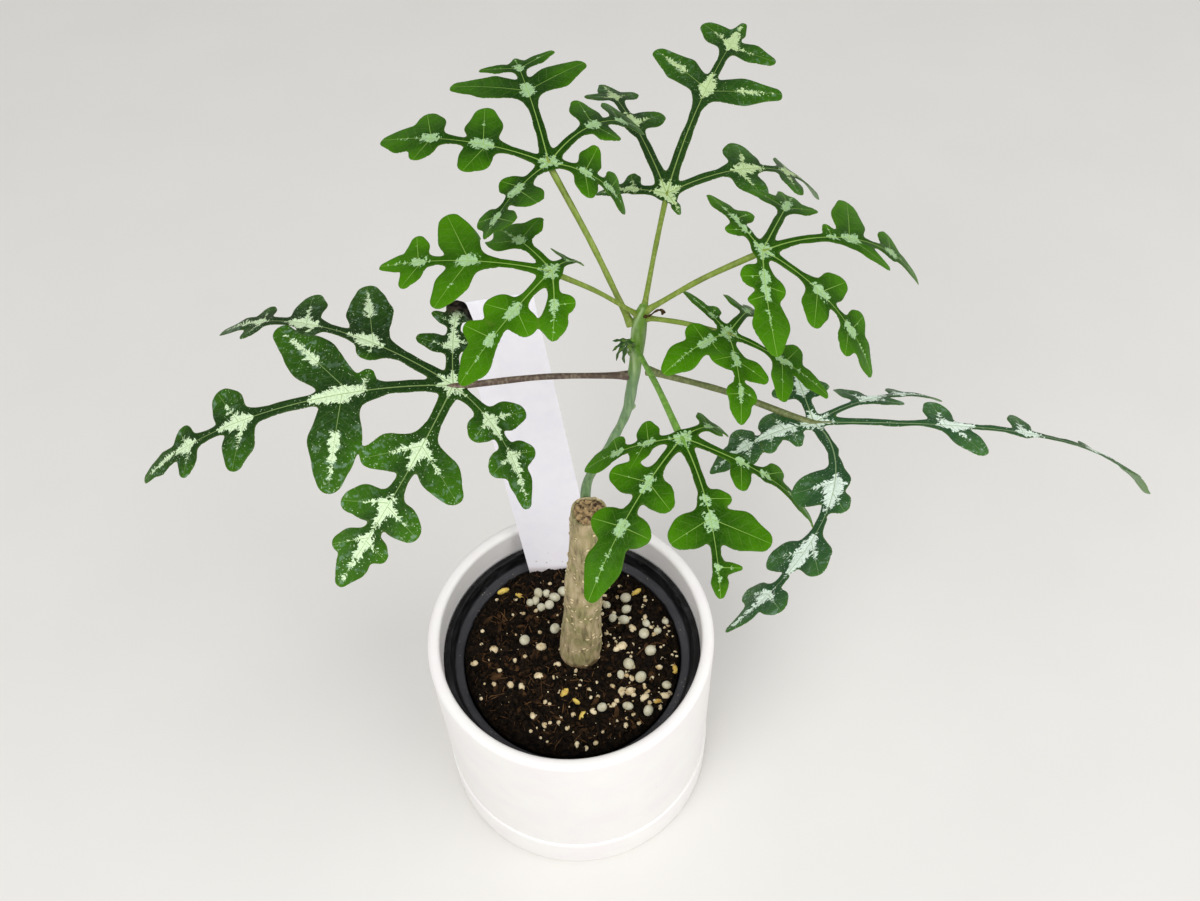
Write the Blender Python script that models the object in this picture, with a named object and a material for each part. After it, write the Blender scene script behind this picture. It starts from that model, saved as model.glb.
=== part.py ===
"""A young adenia cutting in a nursery pot, set in a white ceramic pot on its saucer."""
import math
import random

import bmesh
import bpy
import numpy as np
from mathutils import Vector, noise
from mathutils.geometry import delaunay_2d_cdt

# Every size is in millimetres, and MM turns it into metres as a mesh is made.
# The origin is the middle of the saucer's underside, and the pot's axis is Z.
MM = 0.001
TOUCH = 0.3            # clearance left between two pieces that bear on each other

SAUCER_RADIUS = 50.5
SAUCER_HEIGHT = 18.0
SAUCER_WALL = 3.4
SAUCER_FLOOR = 4.0

POT_RADIUS = 50.0
POT_TOP = 94.0
POT_WALL = 4.3
POT_FLOOR = 5.0
POT_SHOULDER = 18.6    # height at which the pot's wall steps in to enter the saucer
DRAIN_RADIUS = 7.0

NURSERY_RIM_RADIUS = 45.2
NURSERY_RIM_TOP = 82.0
NURSERY_LEDGE_RADIUS = 42.9
NURSERY_NECK_RADIUS = 40.0     # outside the wall, just under the ledge
NURSERY_FOOT_RADIUS = 31.5
NURSERY_WALL = 0.9
NURSERY_DRAINS = 6
NURSERY_DRAIN_RADIUS = 3.5
NURSERY_DRAIN_CIRCLE = 19.5

SOIL_TOP = 78.5
SOIL_RELIEF = 1.1      # height of the humps and hollows of the soil's surface
EDGE_DROP = 1.8        # how far the surface falls away at the pot's wall
EDGE_FALL = 5.0        # width of the ring over which it does so
SOIL_SIDES = 36
SOIL_RINGS = 8
CHIP_COUNT = 16
CHIP_SIZES = (1.4, 2.6)
BEAD_COUNT = 16
BEAD_RADIUS = 1.8
GRIT_SPACING = 7.0     # least distance between the middles of two chips or beads
TRUNK_HOLE_GAP = 0.5

TRUNK_ROUTE = ((1.9, 1.0, 44), (3.1, 0.5, 78), (4.4, 0.2, 104), (6.4, -0.4, 136), (8.9, -1.4, 176))
TRUNK_TOP = 174.5
TRUNK_RADII = (6.6, 7.2, 6.5, 5.9, 5.3)
TRUNK_ROWS = 21
TRUNK_SIDES = 16
BARK_DEPTH = 0.35

SHOOT_ROUTE = ((7.6, -1.0, 164.5), (7.6, 4.6, 168), (8.8, 8.0, 177), (14.8, 8.4, 192), (20.2, 8.2, 209),
               (22.2, 8.0, 224), (23.4, 8.0, 238), (24.1, 8.0, 249), (25.0, 8.5, 253.9))
SHOOT_RADII = (2.0, 1.6, 1.4, 1.3, 1.3, 1.6, 1.8, 2.0, 1.0)
SHOOT_ROWS = 25
SHOOT_SIDES = 10
# The side bud and the stub of a dried leaf, each as rows of x, y, z and radius.
BUD_ROUTE = ((23.6, 8, 243, 0.9), (23.0, 7.4, 243, 1.0), (22.4, 6.9, 243, 0.9), (21.7, 6.3, 243, 0.5))
STUB_ROUTE = ((24.6, 7.2, 251.2, 0.5), (26.2, 5.4, 253.2, 0.4), (28.4, 4.9, 256.2, 0.4), (29.6, 4.2, 256, 0.4))
# Small leaves of the side bud: where they spring from, and the way each points, its length and its dip.
BUD_PLACE = (21.9, 6.5, 243.0)
BUD_LEAVES = ((170, 5.0, 10), (190, 5.8, 30), (207, 7.0, 50), (230, 7.0, 65), (258, 4.2, 20))
BUD_LEAF_HALF = 0.6
BUD_LEAF_SHAPE = ((0, 0.5), (0.3, 1.0), (0.65, 0.9), (1.0, 0.2))    # share of length, share of half width

LABEL_FOOT = (-2.9, 34.7, 78.5)      # where the middle of the label passes the soil
LABEL_HEAD = (-18.8, 64.7, 196.3)
LABEL_WIDTH = 25.0
LABEL_THICKNESS = 0.8
LABEL_BURIED = 28.0
LABEL_POINT = 18.0     # height over which the buried end narrows
LABEL_TIP_HALF = 3.0

ROUND_SIDES = 36       # facets round the saucer and both pots
CREASE = 35            # degrees between two faces from which their edge stays sharp
BLADE_EDGE = 0.7       # thickness of a leaf at its edge
BLADE_RIB = 1.1        # thickness over a midrib
RIB_REACH = 1.2        # distance over which a midrib thins out into the blade
CROSS_ARCH = 0.008     # curvature of a lobe across its midrib, per millimetre
MELT = 0.7             # how softly the parts of one outline run together
NECK_TAPER = 0.35      # share of its width that a lobe's strip loses by the tip
END_NECK = 0.42        # half width where a lobe's end starts, as a share of its end's half width
END_TIP = 0.45         # half width of a lobe's tip, as a share of its end's half width
LOBE_BLEND = 1.2       # distance over which one lobe's bend passes into the next
OUTLINE_STEP = 0.8
OUTLINE_TOLERANCE = 0.28
LEAST_GAP = 6.0        # area of the smallest gap left open where two lobes touch further out
INNER_STEP = 6.5       # spacing of the points inside an outline
STALK_ROWS = 14
STALK_SIDES = 7
RIB_LEAD = 25          # millimetres by which a lobe's bend is also worked out behind its base
RIB_END = 131

# A leaf: where its stalk leaves the shoot, where its blade starts, the heading, pitch and bank of its
# middle lobe, its stalk's thickness, half the width of its necks, and its lobes. A lobe: turn from the
# middle one, length, rise at the base, droop to the tip, swing sideways, twist, half width of its end,
# and its lobules. A lobule: place along the midrib, angle to it, length and half width.
LEAVES = {
    "leaf_a": dict(root=(21.9, 8, 247.4), base=(3, 30, 283), aim=(107, 1, 1), stalk=1.6, neck=1.5, lobes=(
        (-7, 44, 5, 18, 3, -4, 1.9, (
            (27, 58, 22, 4.9), (27, -62, 19, 4.9), (38, 66, 11, 2.4), (38, -61, 12, 2.5))),
        (53, 46, 10, 35, 0, -2, 5.0, (
            (17, -70, 14, 4.8), (16, 74, 10, 4.4), (31, -60, 11, 4.4), (31, 74, 8, 3.6))),
        (-49, 44, 8, 64, -19, 11, 3.6, (
            (19, 57, 12, 4.2), (19, -76, 8, 3.4), (31, 61, 10, 3.8))),
        (121, 27, 8, 26, 15, 47, 3.2, (
            (11, -95, 7, 3.3), (12, 70, 10, 4.0), (21, -80, 8, 3.1), (21.5, 78, 9, 3.0))),
        (-116, 26, 0, 77, 3, -5, 3.6, (
            (9, 76, 11, 3.2), (9, -74, 8, 3.2), (17, 66, 8, 3.2))))),
    "leaf_b": dict(root=(25.1, 8.6, 252.6), base=(33, 45, 257), aim=(64, 0, 2), stalk=1.4, neck=1.7, lobes=(
        (9, 69, 11, 14, -11, 2, 2.4, (
            (38, 60, 22, 4.8), (37, -67, 22, 5.2), (58, 62, 12, 4.2), (57, -88, 14, 3.9))),
        (40, 56, 7, 30, 5, 13, 3.2, (
            (28, -67, 11, 4.6), (44, -67, 8.4, 3.4), (44, 71, 9, 3.2))),
        (-41, 63, 12, 77, 8, -5, 3.8, (
            (24, 62, 14, 5.4), (22, -84, 12, 4.6), (41, 50, 14, 3.4), (40, -110, 12, 3.8))),
        (98, 21, 0, 36, -4, 8, 2.6, ((9, -64, 8, 2.5),)),
        (-126, 8, 8, 24, -11, 0, 1.2, ()))),
    "leaf_c": dict(root=(23.4, 8, 251.2), base=(3, 2, 275), aim=(170, -1, 1), stalk=1.3, neck=1.5, lobes=(
        (-2, 44, 8, 30, 0, -8, 2.6, (
            (20, -58, 18, 5.2), (20, 67, 15, 4.6), (33, -73, 9, 3.1), (32, 60, 8.5, 2.9))),
        (-50, 27, 0, 29, 6, -8, 4.2, ((15, -63, 10, 3.4), (15, 38, 9, 3.6))),
        (59, 35, -3, 32, -4, 6, 4.6, (
            (14, -75, 8, 3.9), (13, 62, 8.4, 3.4), (22, -83, 9, 3.0))),
        (106, 19, 1, 28, -14, 1, 3.4, ((10, 95, 5, 2.7),)),
        (-116, 15, -7, 56, -5, -1, 1.2, ((7, 62, 9, 1.4),)))),
    "leaf_d": dict(root=(25.4, 8.1, 252.2), base=(53, 6, 275), aim=(17, -13, 2), stalk=1.5, neck=1.4, lobes=(
        (8, 59, 11, 61, -16, 5, 3.2, (
            (25.5, 61, 17, 5.0), (20, 85, 4.6, 1.8), (25, -33, 14, 2.9), (41.5, 64, 9, 4.1))),
        (48, 31, 2, 26, 0, -3, 2.4, ((21, 66, 11, 3.2), (21, -46, 10, 3.1), (24, 23, 9, 2.1))),
        (-49, 43, 2, 58, 2, -3, 4.0, (
            (17, 68, 11, 4.0), (16, -66, 11, 4.0), (29, 80, 8, 3.4), (28, -66, 8, 3.3))),
        (-112, 29, 0, 25, 20, -4, 4.7, ((8, -80, 6, 3.2), (11, 75, 5.2, 3.2), (13.5, -68, 5, 1.7))),
        (107, 22, 7, 21, -5, 19, 3.2, ((7, 75, 5.5, 2.0), (11, -81, 7, 2.7))))),
    "leaf_e": dict(root=(25.6, 8, 249.8), base=(45, -4, 257), aim=(-16, -17, -12), stalk=1.4, neck=1.3, lobes=(
        (-1, 31, 1, 28, 0, 5, 3.2, ((16, 68, 9, 3.2), (15, -78, 13, 3.6))),
        (-70, 27, 6, 31, -4, -13, 3.0, (
            (8, -66, 7, 3.2), (9.5, 62, 9.5, 3.3), (19, -74, 4, 2.4), (18, 71, 5, 2.4))),
        (73, 27, 6, 49, -2, 2, 2.5, ((14, 72, 8, 2.7), (15, -40, 8, 2.3))),
        (-134, 21, 2, 42, 12, 3, 4.3, ((7.5, -100, 6.5, 3.4), (6, 80, 5.5, 3.4))),
        (133, 19, -2, 16, -2, 4, 2.0, ((7, -50, 5, 1.9),)))),
    "leaf_f": dict(root=(20.9, 8, 226.8), base=(-25, 2, 233), aim=(204, 17, -11), stalk=1.7, neck=2.0, lobes=(
        (-9, 96, 5, 76, -6, -4, 3.2, (
            (27, -57, 31, 6.9), (29, 74, 27, 7.1), (24, -115, 7, 2.6), (57, -62, 13, 4.9),
            (55, 66, 14, 4.9), (74, -62, 7, 3.6), (73, 64, 9, 3.6))),
        (-48, 82, 5, 69, -4, -1, 3.2, (
            (24, -55, 25, 6.4), (24, 100, 6, 3.4), (45, -62, 14, 5.0), (42, 80, 6, 3.2),
            (61, -63, 8, 3.2), (61, 58, 8, 3.2))),
        (49, 61, -1, 35, -10, 2, 4.0, (
            (20, -50, 16, 5.2), (20, 58, 17.5, 5.5), (37, -64, 12, 4.5), (38, 72, 11, 4.4),
            (47, -50, 9, 3.3), (48, 75, 7, 3.0))),
        (-106, 30, 4, 15, -16, 2, 3.0, (
            (12, 82, 10, 3.2), (14, -80, 7, 3.0), (20, 68, 7, 2.2), (22, -45, 7, 2.2))),
        (120, 39, 6, 44, -25, -6, 3.6, (
            (13, 72, 12, 4.2), (13, -72, 8, 3.7), (24, 76, 8, 3.5), (24, -73, 8, 3.6))))),
    "leaf_g": dict(root=(26.2, 8, 228.4), base=(67, -16, 235), aim=(-8, 18, -16), stalk=1.8, neck=1.4, lobes=(
        (1, 118, -8, 56, 56, 6, 2.8, (
            (33, 95, 11, 4.0), (34, -62, 13, 4.2), (55, 70, 11, 3.2), (80, 60, 7, 2.4),
            (85, -52, 12, 3.6))),
        (44, 45, -3, 43, 0, -8, 2.8, ((17, 95, 11, 3.2), (18, -50, 9, 3.0), (28, 60, 8, 2.5))),
        (107, 31, 9, 4, -1, 1, 3.2, ((12, -85, 7, 3.2), (13, 75, 8, 3.2), (21, 60, 6, 2.5))),
        (-57, 75, 8, 29, -98, 22, 3.4, (
            (27.5, -85, 11, 6.0), (31, 32, 8, 2.9), (49, -68, 11, 4.4), (46, 42, 12, 4.2),
            (62, -70, 10, 3.4), (62, 80, 9, 3.6))),
        (-154, 30, 17, 43, 2, 7, 4.6, (
            (8, -85, 9.5, 5.0), (6, 80, 9, 2.3), (11.5, 70, 8, 2.3), (18, -85, 9.5, 3.4),
            (18, 75, 8.5, 3.2))))),
    "leaf_h": dict(root=(22.9, 7, 239.6), base=(32, -32, 253), aim=(-74, 6, -1), stalk=1.6, neck=1.4, lobes=(
        (2, 41, -1, 27, -19, -4, 2.0, (
            (22.5, -66, 11, 4.5), (22.5, 58, 15, 4.8), (17.5, 80, 6, 2.4), (34, 85, 5.5, 1.3))),
        (-55, 45, -4, 43, 6, 2, 4.7, (
            (14, -78, 10, 4.1), (14, 67, 9, 3.6), (26, -80, 8, 3.9), (26, 92, 7.5, 3.7))),
        (-109, 26, -5, 39, 4, 13, 4.0, ((8, -85, 8, 2.8), (9, 66, 6, 2.6), (16, -76, 6, 2.8))),
        (53, 49, -8, 70, 28, -3, 2.4, ((15, -80, 8, 3.0), (22, 40, 9, 2.6))),
        (114, 19, 1, 71, -6, 4, 2.2, ((9, 61, 7, 2.2), (9, -62, 4, 2.0))))),
}

COLOURS = {            # base colour, roughness
    "glazed_ceramic": ((0.86, 0.86, 0.85), 0.25),
    "nursery_plastic": ((0.018, 0.019, 0.021), 0.4),
    "soil": ((0.045, 0.028, 0.018), 0.95),
    "bark": ((0.29, 0.24, 0.15), 0.85),
    "green_shoot": ((0.11, 0.24, 0.11), 0.5),
    "bright_leaf": ((0.035, 0.16, 0.018), 0.4),
    "dark_leaf": ((0.014, 0.06, 0.025), 0.4),
    "label_plastic": ((0.82, 0.8, 0.86), 0.5),
}
DARK_LEAVES = ("leaf_b", "leaf_f", "leaf_g")


def material(name):
    """A plain material of the colour and roughness that COLOURS gives."""
    found = bpy.data.materials.get(name)
    if found:
        return found
    colour, roughness = COLOURS[name]
    made = bpy.data.materials.new(name)
    made.use_nodes = True
    shader = made.node_tree.nodes["Principled BSDF"]
    shader.inputs["Base Color"].default_value = (*colour, 1)
    shader.inputs["Roughness"].default_value = roughness
    return made


def add_object(name, vertices, faces, finish=None):
    """Put a mesh, given in millimetres, into the scene as one object."""
    mesh = bpy.data.meshes.new(name)
    mesh.from_pydata([tuple(float(c) * MM for c in v) for v in vertices], [], [tuple(f) for f in faces])
    mesh.validate()
    made = bpy.data.objects.new(name, mesh)
    bpy.context.collection.objects.link(made)
    if finish:
        mesh.materials.append(material(finish))
    return made


def face_outwards(thing):
    """Turn a closed mesh's faces to point out of it."""
    shape = bmesh.new()
    shape.from_mesh(thing.data)
    bmesh.ops.recalc_face_normals(shape, faces=shape.faces)
    shape.to_mesh(thing.data)
    shape.free()


def shade_round(thing, angle=CREASE):
    """Smooth shading, with creases where faces meet at more than an angle."""
    thing.data.shade_smooth()
    thing.data.set_sharp_from_angle(angle=math.radians(angle))


def flat_faces(thing):
    """Split a mesh's faces into triangles, so that none of them is bent."""
    shape = bmesh.new()
    shape.from_mesh(thing.data)
    bmesh.ops.triangulate(shape, faces=shape.faces)
    shape.to_mesh(thing.data)
    shape.free()


def boolean(thing, others, operation):
    """Join or cut a solid with others, apply it, and remove the others."""
    flat_faces(thing)
    group = bpy.data.collections.new("tools")
    for other in others:
        flat_faces(other)
        group.objects.link(other)
    step = thing.modifiers.new(operation, "BOOLEAN")
    step.operation = operation
    step.solver = "EXACT"
    step.operand_type = "COLLECTION"
    step.collection = group
    evaluated = thing.evaluated_get(bpy.context.evaluated_depsgraph_get())
    result = bpy.data.meshes.new_from_object(evaluated)
    thing.modifiers.clear()
    thing.data = result
    for other in others:
        bpy.data.objects.remove(other)
    bpy.data.collections.remove(group)


def turned(name, profile, segments, finish=None):
    """Turn a profile of (radius, height) points: a closed ring, or a solid if its ends lie on the axis."""
    solid = profile[0][0] == 0
    ring_profile = profile[1:-1] if solid else profile
    count = len(ring_profile)
    angles = np.linspace(0, 2 * math.pi, segments, endpoint=False)
    vertices = [(r * math.cos(a), r * math.sin(a), z) for a in angles for r, z in ring_profile]
    last = count - 1 if solid else count
    faces = []
    for i in range(segments):
        here, there = i * count, (i + 1) % segments * count
        for k in range(last):
            m = (k + 1) % count
            faces.append((here + k, there + k, there + m, here + m))
        if solid:
            faces.append((segments * count, there, here))
            faces.append((segments * count + 1, here + count - 1, there + count - 1))
    if solid:
        vertices += [(0, 0, profile[0][1]), (0, 0, profile[-1][1])]
    made = add_object(name, vertices, faces, finish)
    face_outwards(made)
    shade_round(made)
    return made


def arc(centre, radius, start, end, steps):
    """Points of an arc in a profile, its angles in degrees."""
    angles = np.radians(np.linspace(start, end, steps))
    return [(centre[0] + radius * math.cos(a), centre[1] + radius * math.sin(a)) for a in angles]


def smooth_route(points, count):
    """Points spaced evenly along a Catmull-Rom curve through the given rows of numbers."""
    rows = np.array(points, float)
    ends = np.vstack((2 * rows[0] - rows[1], rows, 2 * rows[-1] - rows[-2]))
    share = np.linspace(0, len(rows) - 1, count)
    first = np.minimum(share.astype(int), len(rows) - 2)
    t = (share - first)[:, None]
    a, b, c, d = (ends[first + k] for k in range(4))
    bend, twist = 2 * a - 5 * b + 4 * c - d, 3 * b - a - 3 * c + d
    return 0.5 * (2 * b + (c - a) * t + bend * t ** 2 + twist * t ** 3)


def tube(name, rows, sides, finish=None, relief=None):
    """A round tube along rows of x, y, z, radius, its ends closed by a fan."""
    path, radii = rows[:, :3], rows[:, 3]
    along = np.gradient(path, axis=0)
    along /= np.linalg.norm(along, axis=1)[:, None]
    side = np.cross(along[0], (0.31, 0.95, 0.05))
    vertices = []
    for centre, way, radius in zip(path, along, radii):
        side = side - way * (side @ way)
        side = side / np.linalg.norm(side)
        other = np.cross(way, side)
        for k in range(sides):
            angle = 2 * math.pi * k / sides
            reach = radius + (relief(centre, angle) if relief else 0)
            vertices.append(centre + reach * (math.cos(angle) * side + math.sin(angle) * other))
    rings = len(path)
    faces = []
    for i in range(rings - 1):
        for k in range(sides):
            m = (k + 1) % sides
            faces.append((i * sides + k, i * sides + m, (i + 1) * sides + m, (i + 1) * sides + k))
    for ring, centre in ((0, path[0]), (rings - 1, path[-1])):
        vertices.append(centre)
        hub = len(vertices) - 1
        faces += [(hub, ring * sides + k, ring * sides + (k + 1) % sides) for k in range(sides)]
    made = add_object(name, vertices, faces, finish)
    face_outwards(made)
    shade_round(made)
    return made


def saucer():
    """A shallow glazed dish with an upright wall, which the pot's foot stands in."""
    inner = SAUCER_RADIUS - SAUCER_WALL
    lip = 1.0
    profile = [(0, 0)] + arc((SAUCER_RADIUS - 2.2, 2.2), 2.2, -90, 0, 4)
    profile += arc((SAUCER_RADIUS - lip, SAUCER_HEIGHT - lip), lip, 0, 90, 3)
    profile += arc((inner + lip, SAUCER_HEIGHT - lip), lip, 90, 180, 3)
    profile += [(inner, SAUCER_FLOOR + 1.5), (inner - 1.5, SAUCER_FLOOR), (0, SAUCER_FLOOR)]
    turned("saucer", profile, ROUND_SIDES, "glazed_ceramic")


def ceramic_pot():
    """A straight glazed pot with a soft lip, a stepped foot and a drain hole."""
    inner = POT_RADIUS - POT_WALL
    foot = SAUCER_RADIUS - SAUCER_WALL - 0.6
    bottom = SAUCER_FLOOR + TOUCH
    floor = bottom + POT_FLOOR
    lip = POT_WALL / 2
    profile = [(DRAIN_RADIUS, bottom), (foot - 1.2, bottom), (foot, bottom + 1.2), (foot, POT_SHOULDER)]
    profile += arc((POT_RADIUS - 1.2, POT_SHOULDER + 1.2), 1.2, -90, 0, 3)
    profile += arc((POT_RADIUS - lip, POT_TOP - lip), lip, 0, 180, 7)
    profile += [(inner, floor + 3)] + arc((inner - 3, floor + 3), 3, -20, -90, 3) + [(DRAIN_RADIUS, floor)]
    turned("ceramic_pot", profile, ROUND_SIDES, "glazed_ceramic")


def nursery_pot():
    """A thin tapered plastic pot with a ledge under its collar, a rolled rim and drain holes."""
    bottom = SAUCER_FLOOR + POT_FLOOR + 2 * TOUCH
    top = NURSERY_RIM_TOP
    rim, ledge, neck = NURSERY_RIM_RADIUS, NURSERY_LEDGE_RADIUS, NURSERY_NECK_RADIUS
    foot, wall = NURSERY_FOOT_RADIUS, NURSERY_WALL
    profile = [(0, bottom), (foot - 1.5, bottom), (foot, bottom + 1.5)]
    profile += [(neck, top - 7.2), (ledge, top - 6.4), (rim - 1.0, top - 2.6)]
    profile += arc((rim - 0.7, top - 0.7), 0.7, -60, 90, 4)
    profile += [(rim - 1.9, top - 0.1), (ledge - wall, top - 5.4), (neck - wall, top - 6.2)]
    profile += [(foot - wall, bottom + wall + 1), (foot - wall - 1, bottom + wall), (0, bottom + wall)]
    pot = turned("nursery_pot", profile, ROUND_SIDES, "nursery_plastic")
    drains = []
    for k in range(NURSERY_DRAINS):
        angle = 2 * math.pi * k / NURSERY_DRAINS
        x, y = NURSERY_DRAIN_CIRCLE * math.cos(angle), NURSERY_DRAIN_CIRCLE * math.sin(angle)
        rows = [(x, y, bottom + reach, NURSERY_DRAIN_RADIUS) for reach in (-2, 3)]
        drains.append(tube("drain", np.array(rows), 10))
    boolean(pot, drains, "DIFFERENCE")
    shade_round(pot)


def soil_height(x, y):
    """Height of the potting mix: humps of two sizes, a little higher round the trunk."""
    place = Vector((x, y, 0))
    humps = noise.noise(place * 0.11) + 0.5 * noise.noise(place * 0.31 + Vector((7, 3, 1)))
    mound = 1.2 * math.exp(-((x - TRUNK_ROUTE[1][0]) ** 2 + (y - TRUNK_ROUTE[1][1]) ** 2) / 150)
    return SOIL_TOP + SOIL_RELIEF * humps + mound


def soil():
    """Potting mix filling the nursery pot, with bark chips, perlite and fertiliser beads in its surface."""
    bottom = SAUCER_FLOOR + POT_FLOOR + 2 * TOUCH + NURSERY_WALL + TOUCH
    foot = NURSERY_FOOT_RADIUS - NURSERY_WALL - TOUCH
    brim = NURSERY_NECK_RADIUS - NURSERY_WALL - TOUCH - 0.4
    profile = [(0, bottom), (foot - 1.4, bottom), (foot, bottom + 1.6), (brim, NURSERY_RIM_TOP - 8)]
    profile += [(brim * (1 - k / SOIL_RINGS), SOIL_TOP - EDGE_DROP * (k == 0)) for k in range(SOIL_RINGS + 1)]
    mix = turned("soil", profile, SOIL_SIDES, "soil")
    for v in mix.data.vertices:
        if v.co.z > (SOIL_TOP - 0.3) * MM:
            v.co.z = soil_height(v.co.x / MM, v.co.y / MM) * MM
    draw = random.Random(5)
    grit = []
    taken = []
    trunk = TRUNK_ROUTE[1]
    while len(grit) < CHIP_COUNT + BEAD_COUNT:
        reach, angle = (brim - EDGE_FALL) * math.sqrt(draw.random()), 2 * math.pi * draw.random()
        x, y = reach * math.cos(angle), reach * math.sin(angle)
        clear_of_trunk = math.hypot(x - trunk[0], y - trunk[1]) > TRUNK_RADII[1] + 3.5
        clear_of_label = abs(y - LABEL_FOOT[1]) > 4.5 or abs(x - LABEL_FOOT[0]) > LABEL_WIDTH / 2 + 3
        clear_of_grit = all(math.hypot(x - u, y - v) > GRIT_SPACING for u, v in taken)
        if not (clear_of_trunk and clear_of_label and clear_of_grit):
            continue
        taken.append((x, y))
        bead = len(grit) < BEAD_COUNT
        size = BEAD_RADIUS if bead else draw.uniform(*CHIP_SIZES)
        grit.append(grain((x, y, soil_height(x, y) + 0.35 * size), size, draw, bead))
    boolean(mix, grit, "UNION")
    hole = np.array([(*p, r + TRUNK_HOLE_GAP) for p, r in zip(TRUNK_ROUTE[:3], TRUNK_RADII[:3])])
    hole[0, 2] -= TRUNK_HOLE_GAP
    slot = label_plate("slot", 2 * TOUCH)
    boolean(mix, [tube("hole", smooth_route(hole, 9), 20), slot], "DIFFERENCE")
    shade_round(mix, 50)


def grain(place, size, draw, bead):
    """One bead, or one angular chip of bark or perlite, sunk into the surface of the mix."""
    shape = bmesh.new()
    bmesh.ops.create_icosphere(shape, subdivisions=1, radius=size)
    stretch = (1, 1, 1) if bead else (draw.uniform(0.8, 1.5), draw.uniform(0.7, 1.0), draw.uniform(0.6, 0.9))
    turn = draw.uniform(0, math.pi)
    vertices = []
    for v in shape.verts:
        x, y, z = (c * s * (1 if bead else draw.uniform(0.85, 1.15)) for c, s in zip(v.co, stretch))
        vertices.append((place[0] + x * math.cos(turn) - y * math.sin(turn),
                         place[1] + x * math.sin(turn) + y * math.cos(turn), place[2] + z))
    faces = [[v.index for v in f.verts] for f in shape.faces]
    shape.free()
    return add_object("grain", vertices, faces)


def bark(centre, angle):
    """Relief of the bark: shallow furrows along the trunk, none where it stands in the soil."""
    bare = min(1, max(0, (centre[2] - SOIL_TOP - 2) / 6))
    place = Vector((2.2 * math.cos(angle), 2.2 * math.sin(angle), centre[2] * 0.07))
    return BARK_DEPTH * bare * noise.noise(place * 1.3)


def trunk_rows(extra=0.0):
    """The trunk's axis and radius."""
    return smooth_route([(*p, r + extra) for p, r in zip(TRUNK_ROUTE, TRUNK_RADII)], TRUNK_ROWS)


def trunk():
    """The woody cutting, sawn off level at the top."""
    made = tube("trunk", trunk_rows(), TRUNK_SIDES, "bark", bark)
    x, y, _ = TRUNK_ROUTE[-1]
    saw = tube("saw", np.array([(x, y, TRUNK_TOP + up, 3 * TRUNK_RADII[-1]) for up in (0, 6)]), 4)
    boolean(made, [saw], "DIFFERENCE")
    shade_round(made, 50)


def shoot_rows(extra=0.0):
    """The green shoot's axis and radius, made thicker all round and longer at its top by an extra."""
    rows = smooth_route([(*p, r + extra) for p, r in zip(SHOOT_ROUTE, SHOOT_RADII)], SHOOT_ROWS)
    upwards = rows[-1, :3] - rows[-2, :3]
    rows[-1, :3] += extra * upwards / np.linalg.norm(upwards)
    return rows


def bud_leaf(heading, length, dip):
    """One narrow pointed leaf of the side bud, a diamond in section."""
    way = math.radians(heading)
    root = np.array(BUD_PLACE)
    out = np.array((math.cos(way), math.sin(way), 0))
    across = np.array((-math.sin(way), math.cos(way), 0))
    rows = []
    for share, half in BUD_LEAF_SHAPE:
        drop = math.radians(dip) * share
        centre = root + length * share * (math.cos(drop) * out - math.sin(drop) * np.array((0, 0, 1)))
        over = math.sin(drop) * out + np.array((0, 0, math.cos(drop)))
        wide, thick = BUD_LEAF_HALF * half * across, (0.4 - 0.1 * share) * over
        rows += [centre + wide, centre + thick, centre - wide, centre - thick]
    last = len(rows) - 4
    faces = [(0, 1, 2, 3), (last + 3, last + 2, last + 1, last)]
    for i in range(0, last, 4):
        faces += [(i + k, i + (k + 1) % 4, i + 4 + (k + 1) % 4, i + 4 + k) for k in range(4)]
    made = add_object("bud_leaf", rows, faces)
    face_outwards(made)
    return made


def shoot():
    """The green shoot that grew from under the cut, with the side bud and the stub of a dried leaf."""
    made = tube("shoot", shoot_rows(), SHOOT_SIDES, "green_shoot")
    extras = [bud_leaf(*values) for values in BUD_LEAVES]
    extras.append(tube("bud", np.array(BUD_ROUTE), 8))
    extras.append(tube("stub", smooth_route(STUB_ROUTE, 7), 6))
    boolean(made, extras, "UNION")
    boolean(made, [tube("clear", trunk_rows(2 * TOUCH), TRUNK_SIDES)], "DIFFERENCE")
    shade_round(made)


def round_cone(points, start, end, start_radius, end_radius):
    """Signed distance to a drop: two discs and the two tangents that close round them."""
    axis = end - start
    length = np.hypot(*axis)
    axis = axis / length
    offset = points - start
    along = offset @ axis
    across = np.abs(offset @ np.array((-axis[1], axis[0])))
    lean = min(0.95, max(-0.95, (start_radius - end_radius) / length))
    upright = math.sqrt(1 - lean * lean)
    climb = along * upright - across * lean
    near_start = np.hypot(across, along) - start_radius
    near_end = np.hypot(across, along - length) - end_radius
    flank = across * upright + along * lean - start_radius
    return np.where(climb < 0, near_start, np.where(climb > upright * length, near_end, flank))


def rib_arc(lobe):
    """A lobe's midrib lies on an arc of the leaf's plane: its first direction and its radius."""
    turn, length, swing = math.radians(lobe[0]), lobe[1], math.radians(lobe[4])
    if abs(swing) < 0.02:
        swing = 0.02
    return turn, length / swing


def rib_point(lobe, along):
    """The point of the leaf's plane this far along a midrib, and the rib's direction there."""
    turn, radius = rib_arc(lobe)
    way = turn + np.asarray(along, float) / radius
    x = radius * (np.sin(way) - math.sin(turn))
    y = radius * (math.cos(turn) - np.cos(way))
    return np.stack((x, y), -1), way


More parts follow.
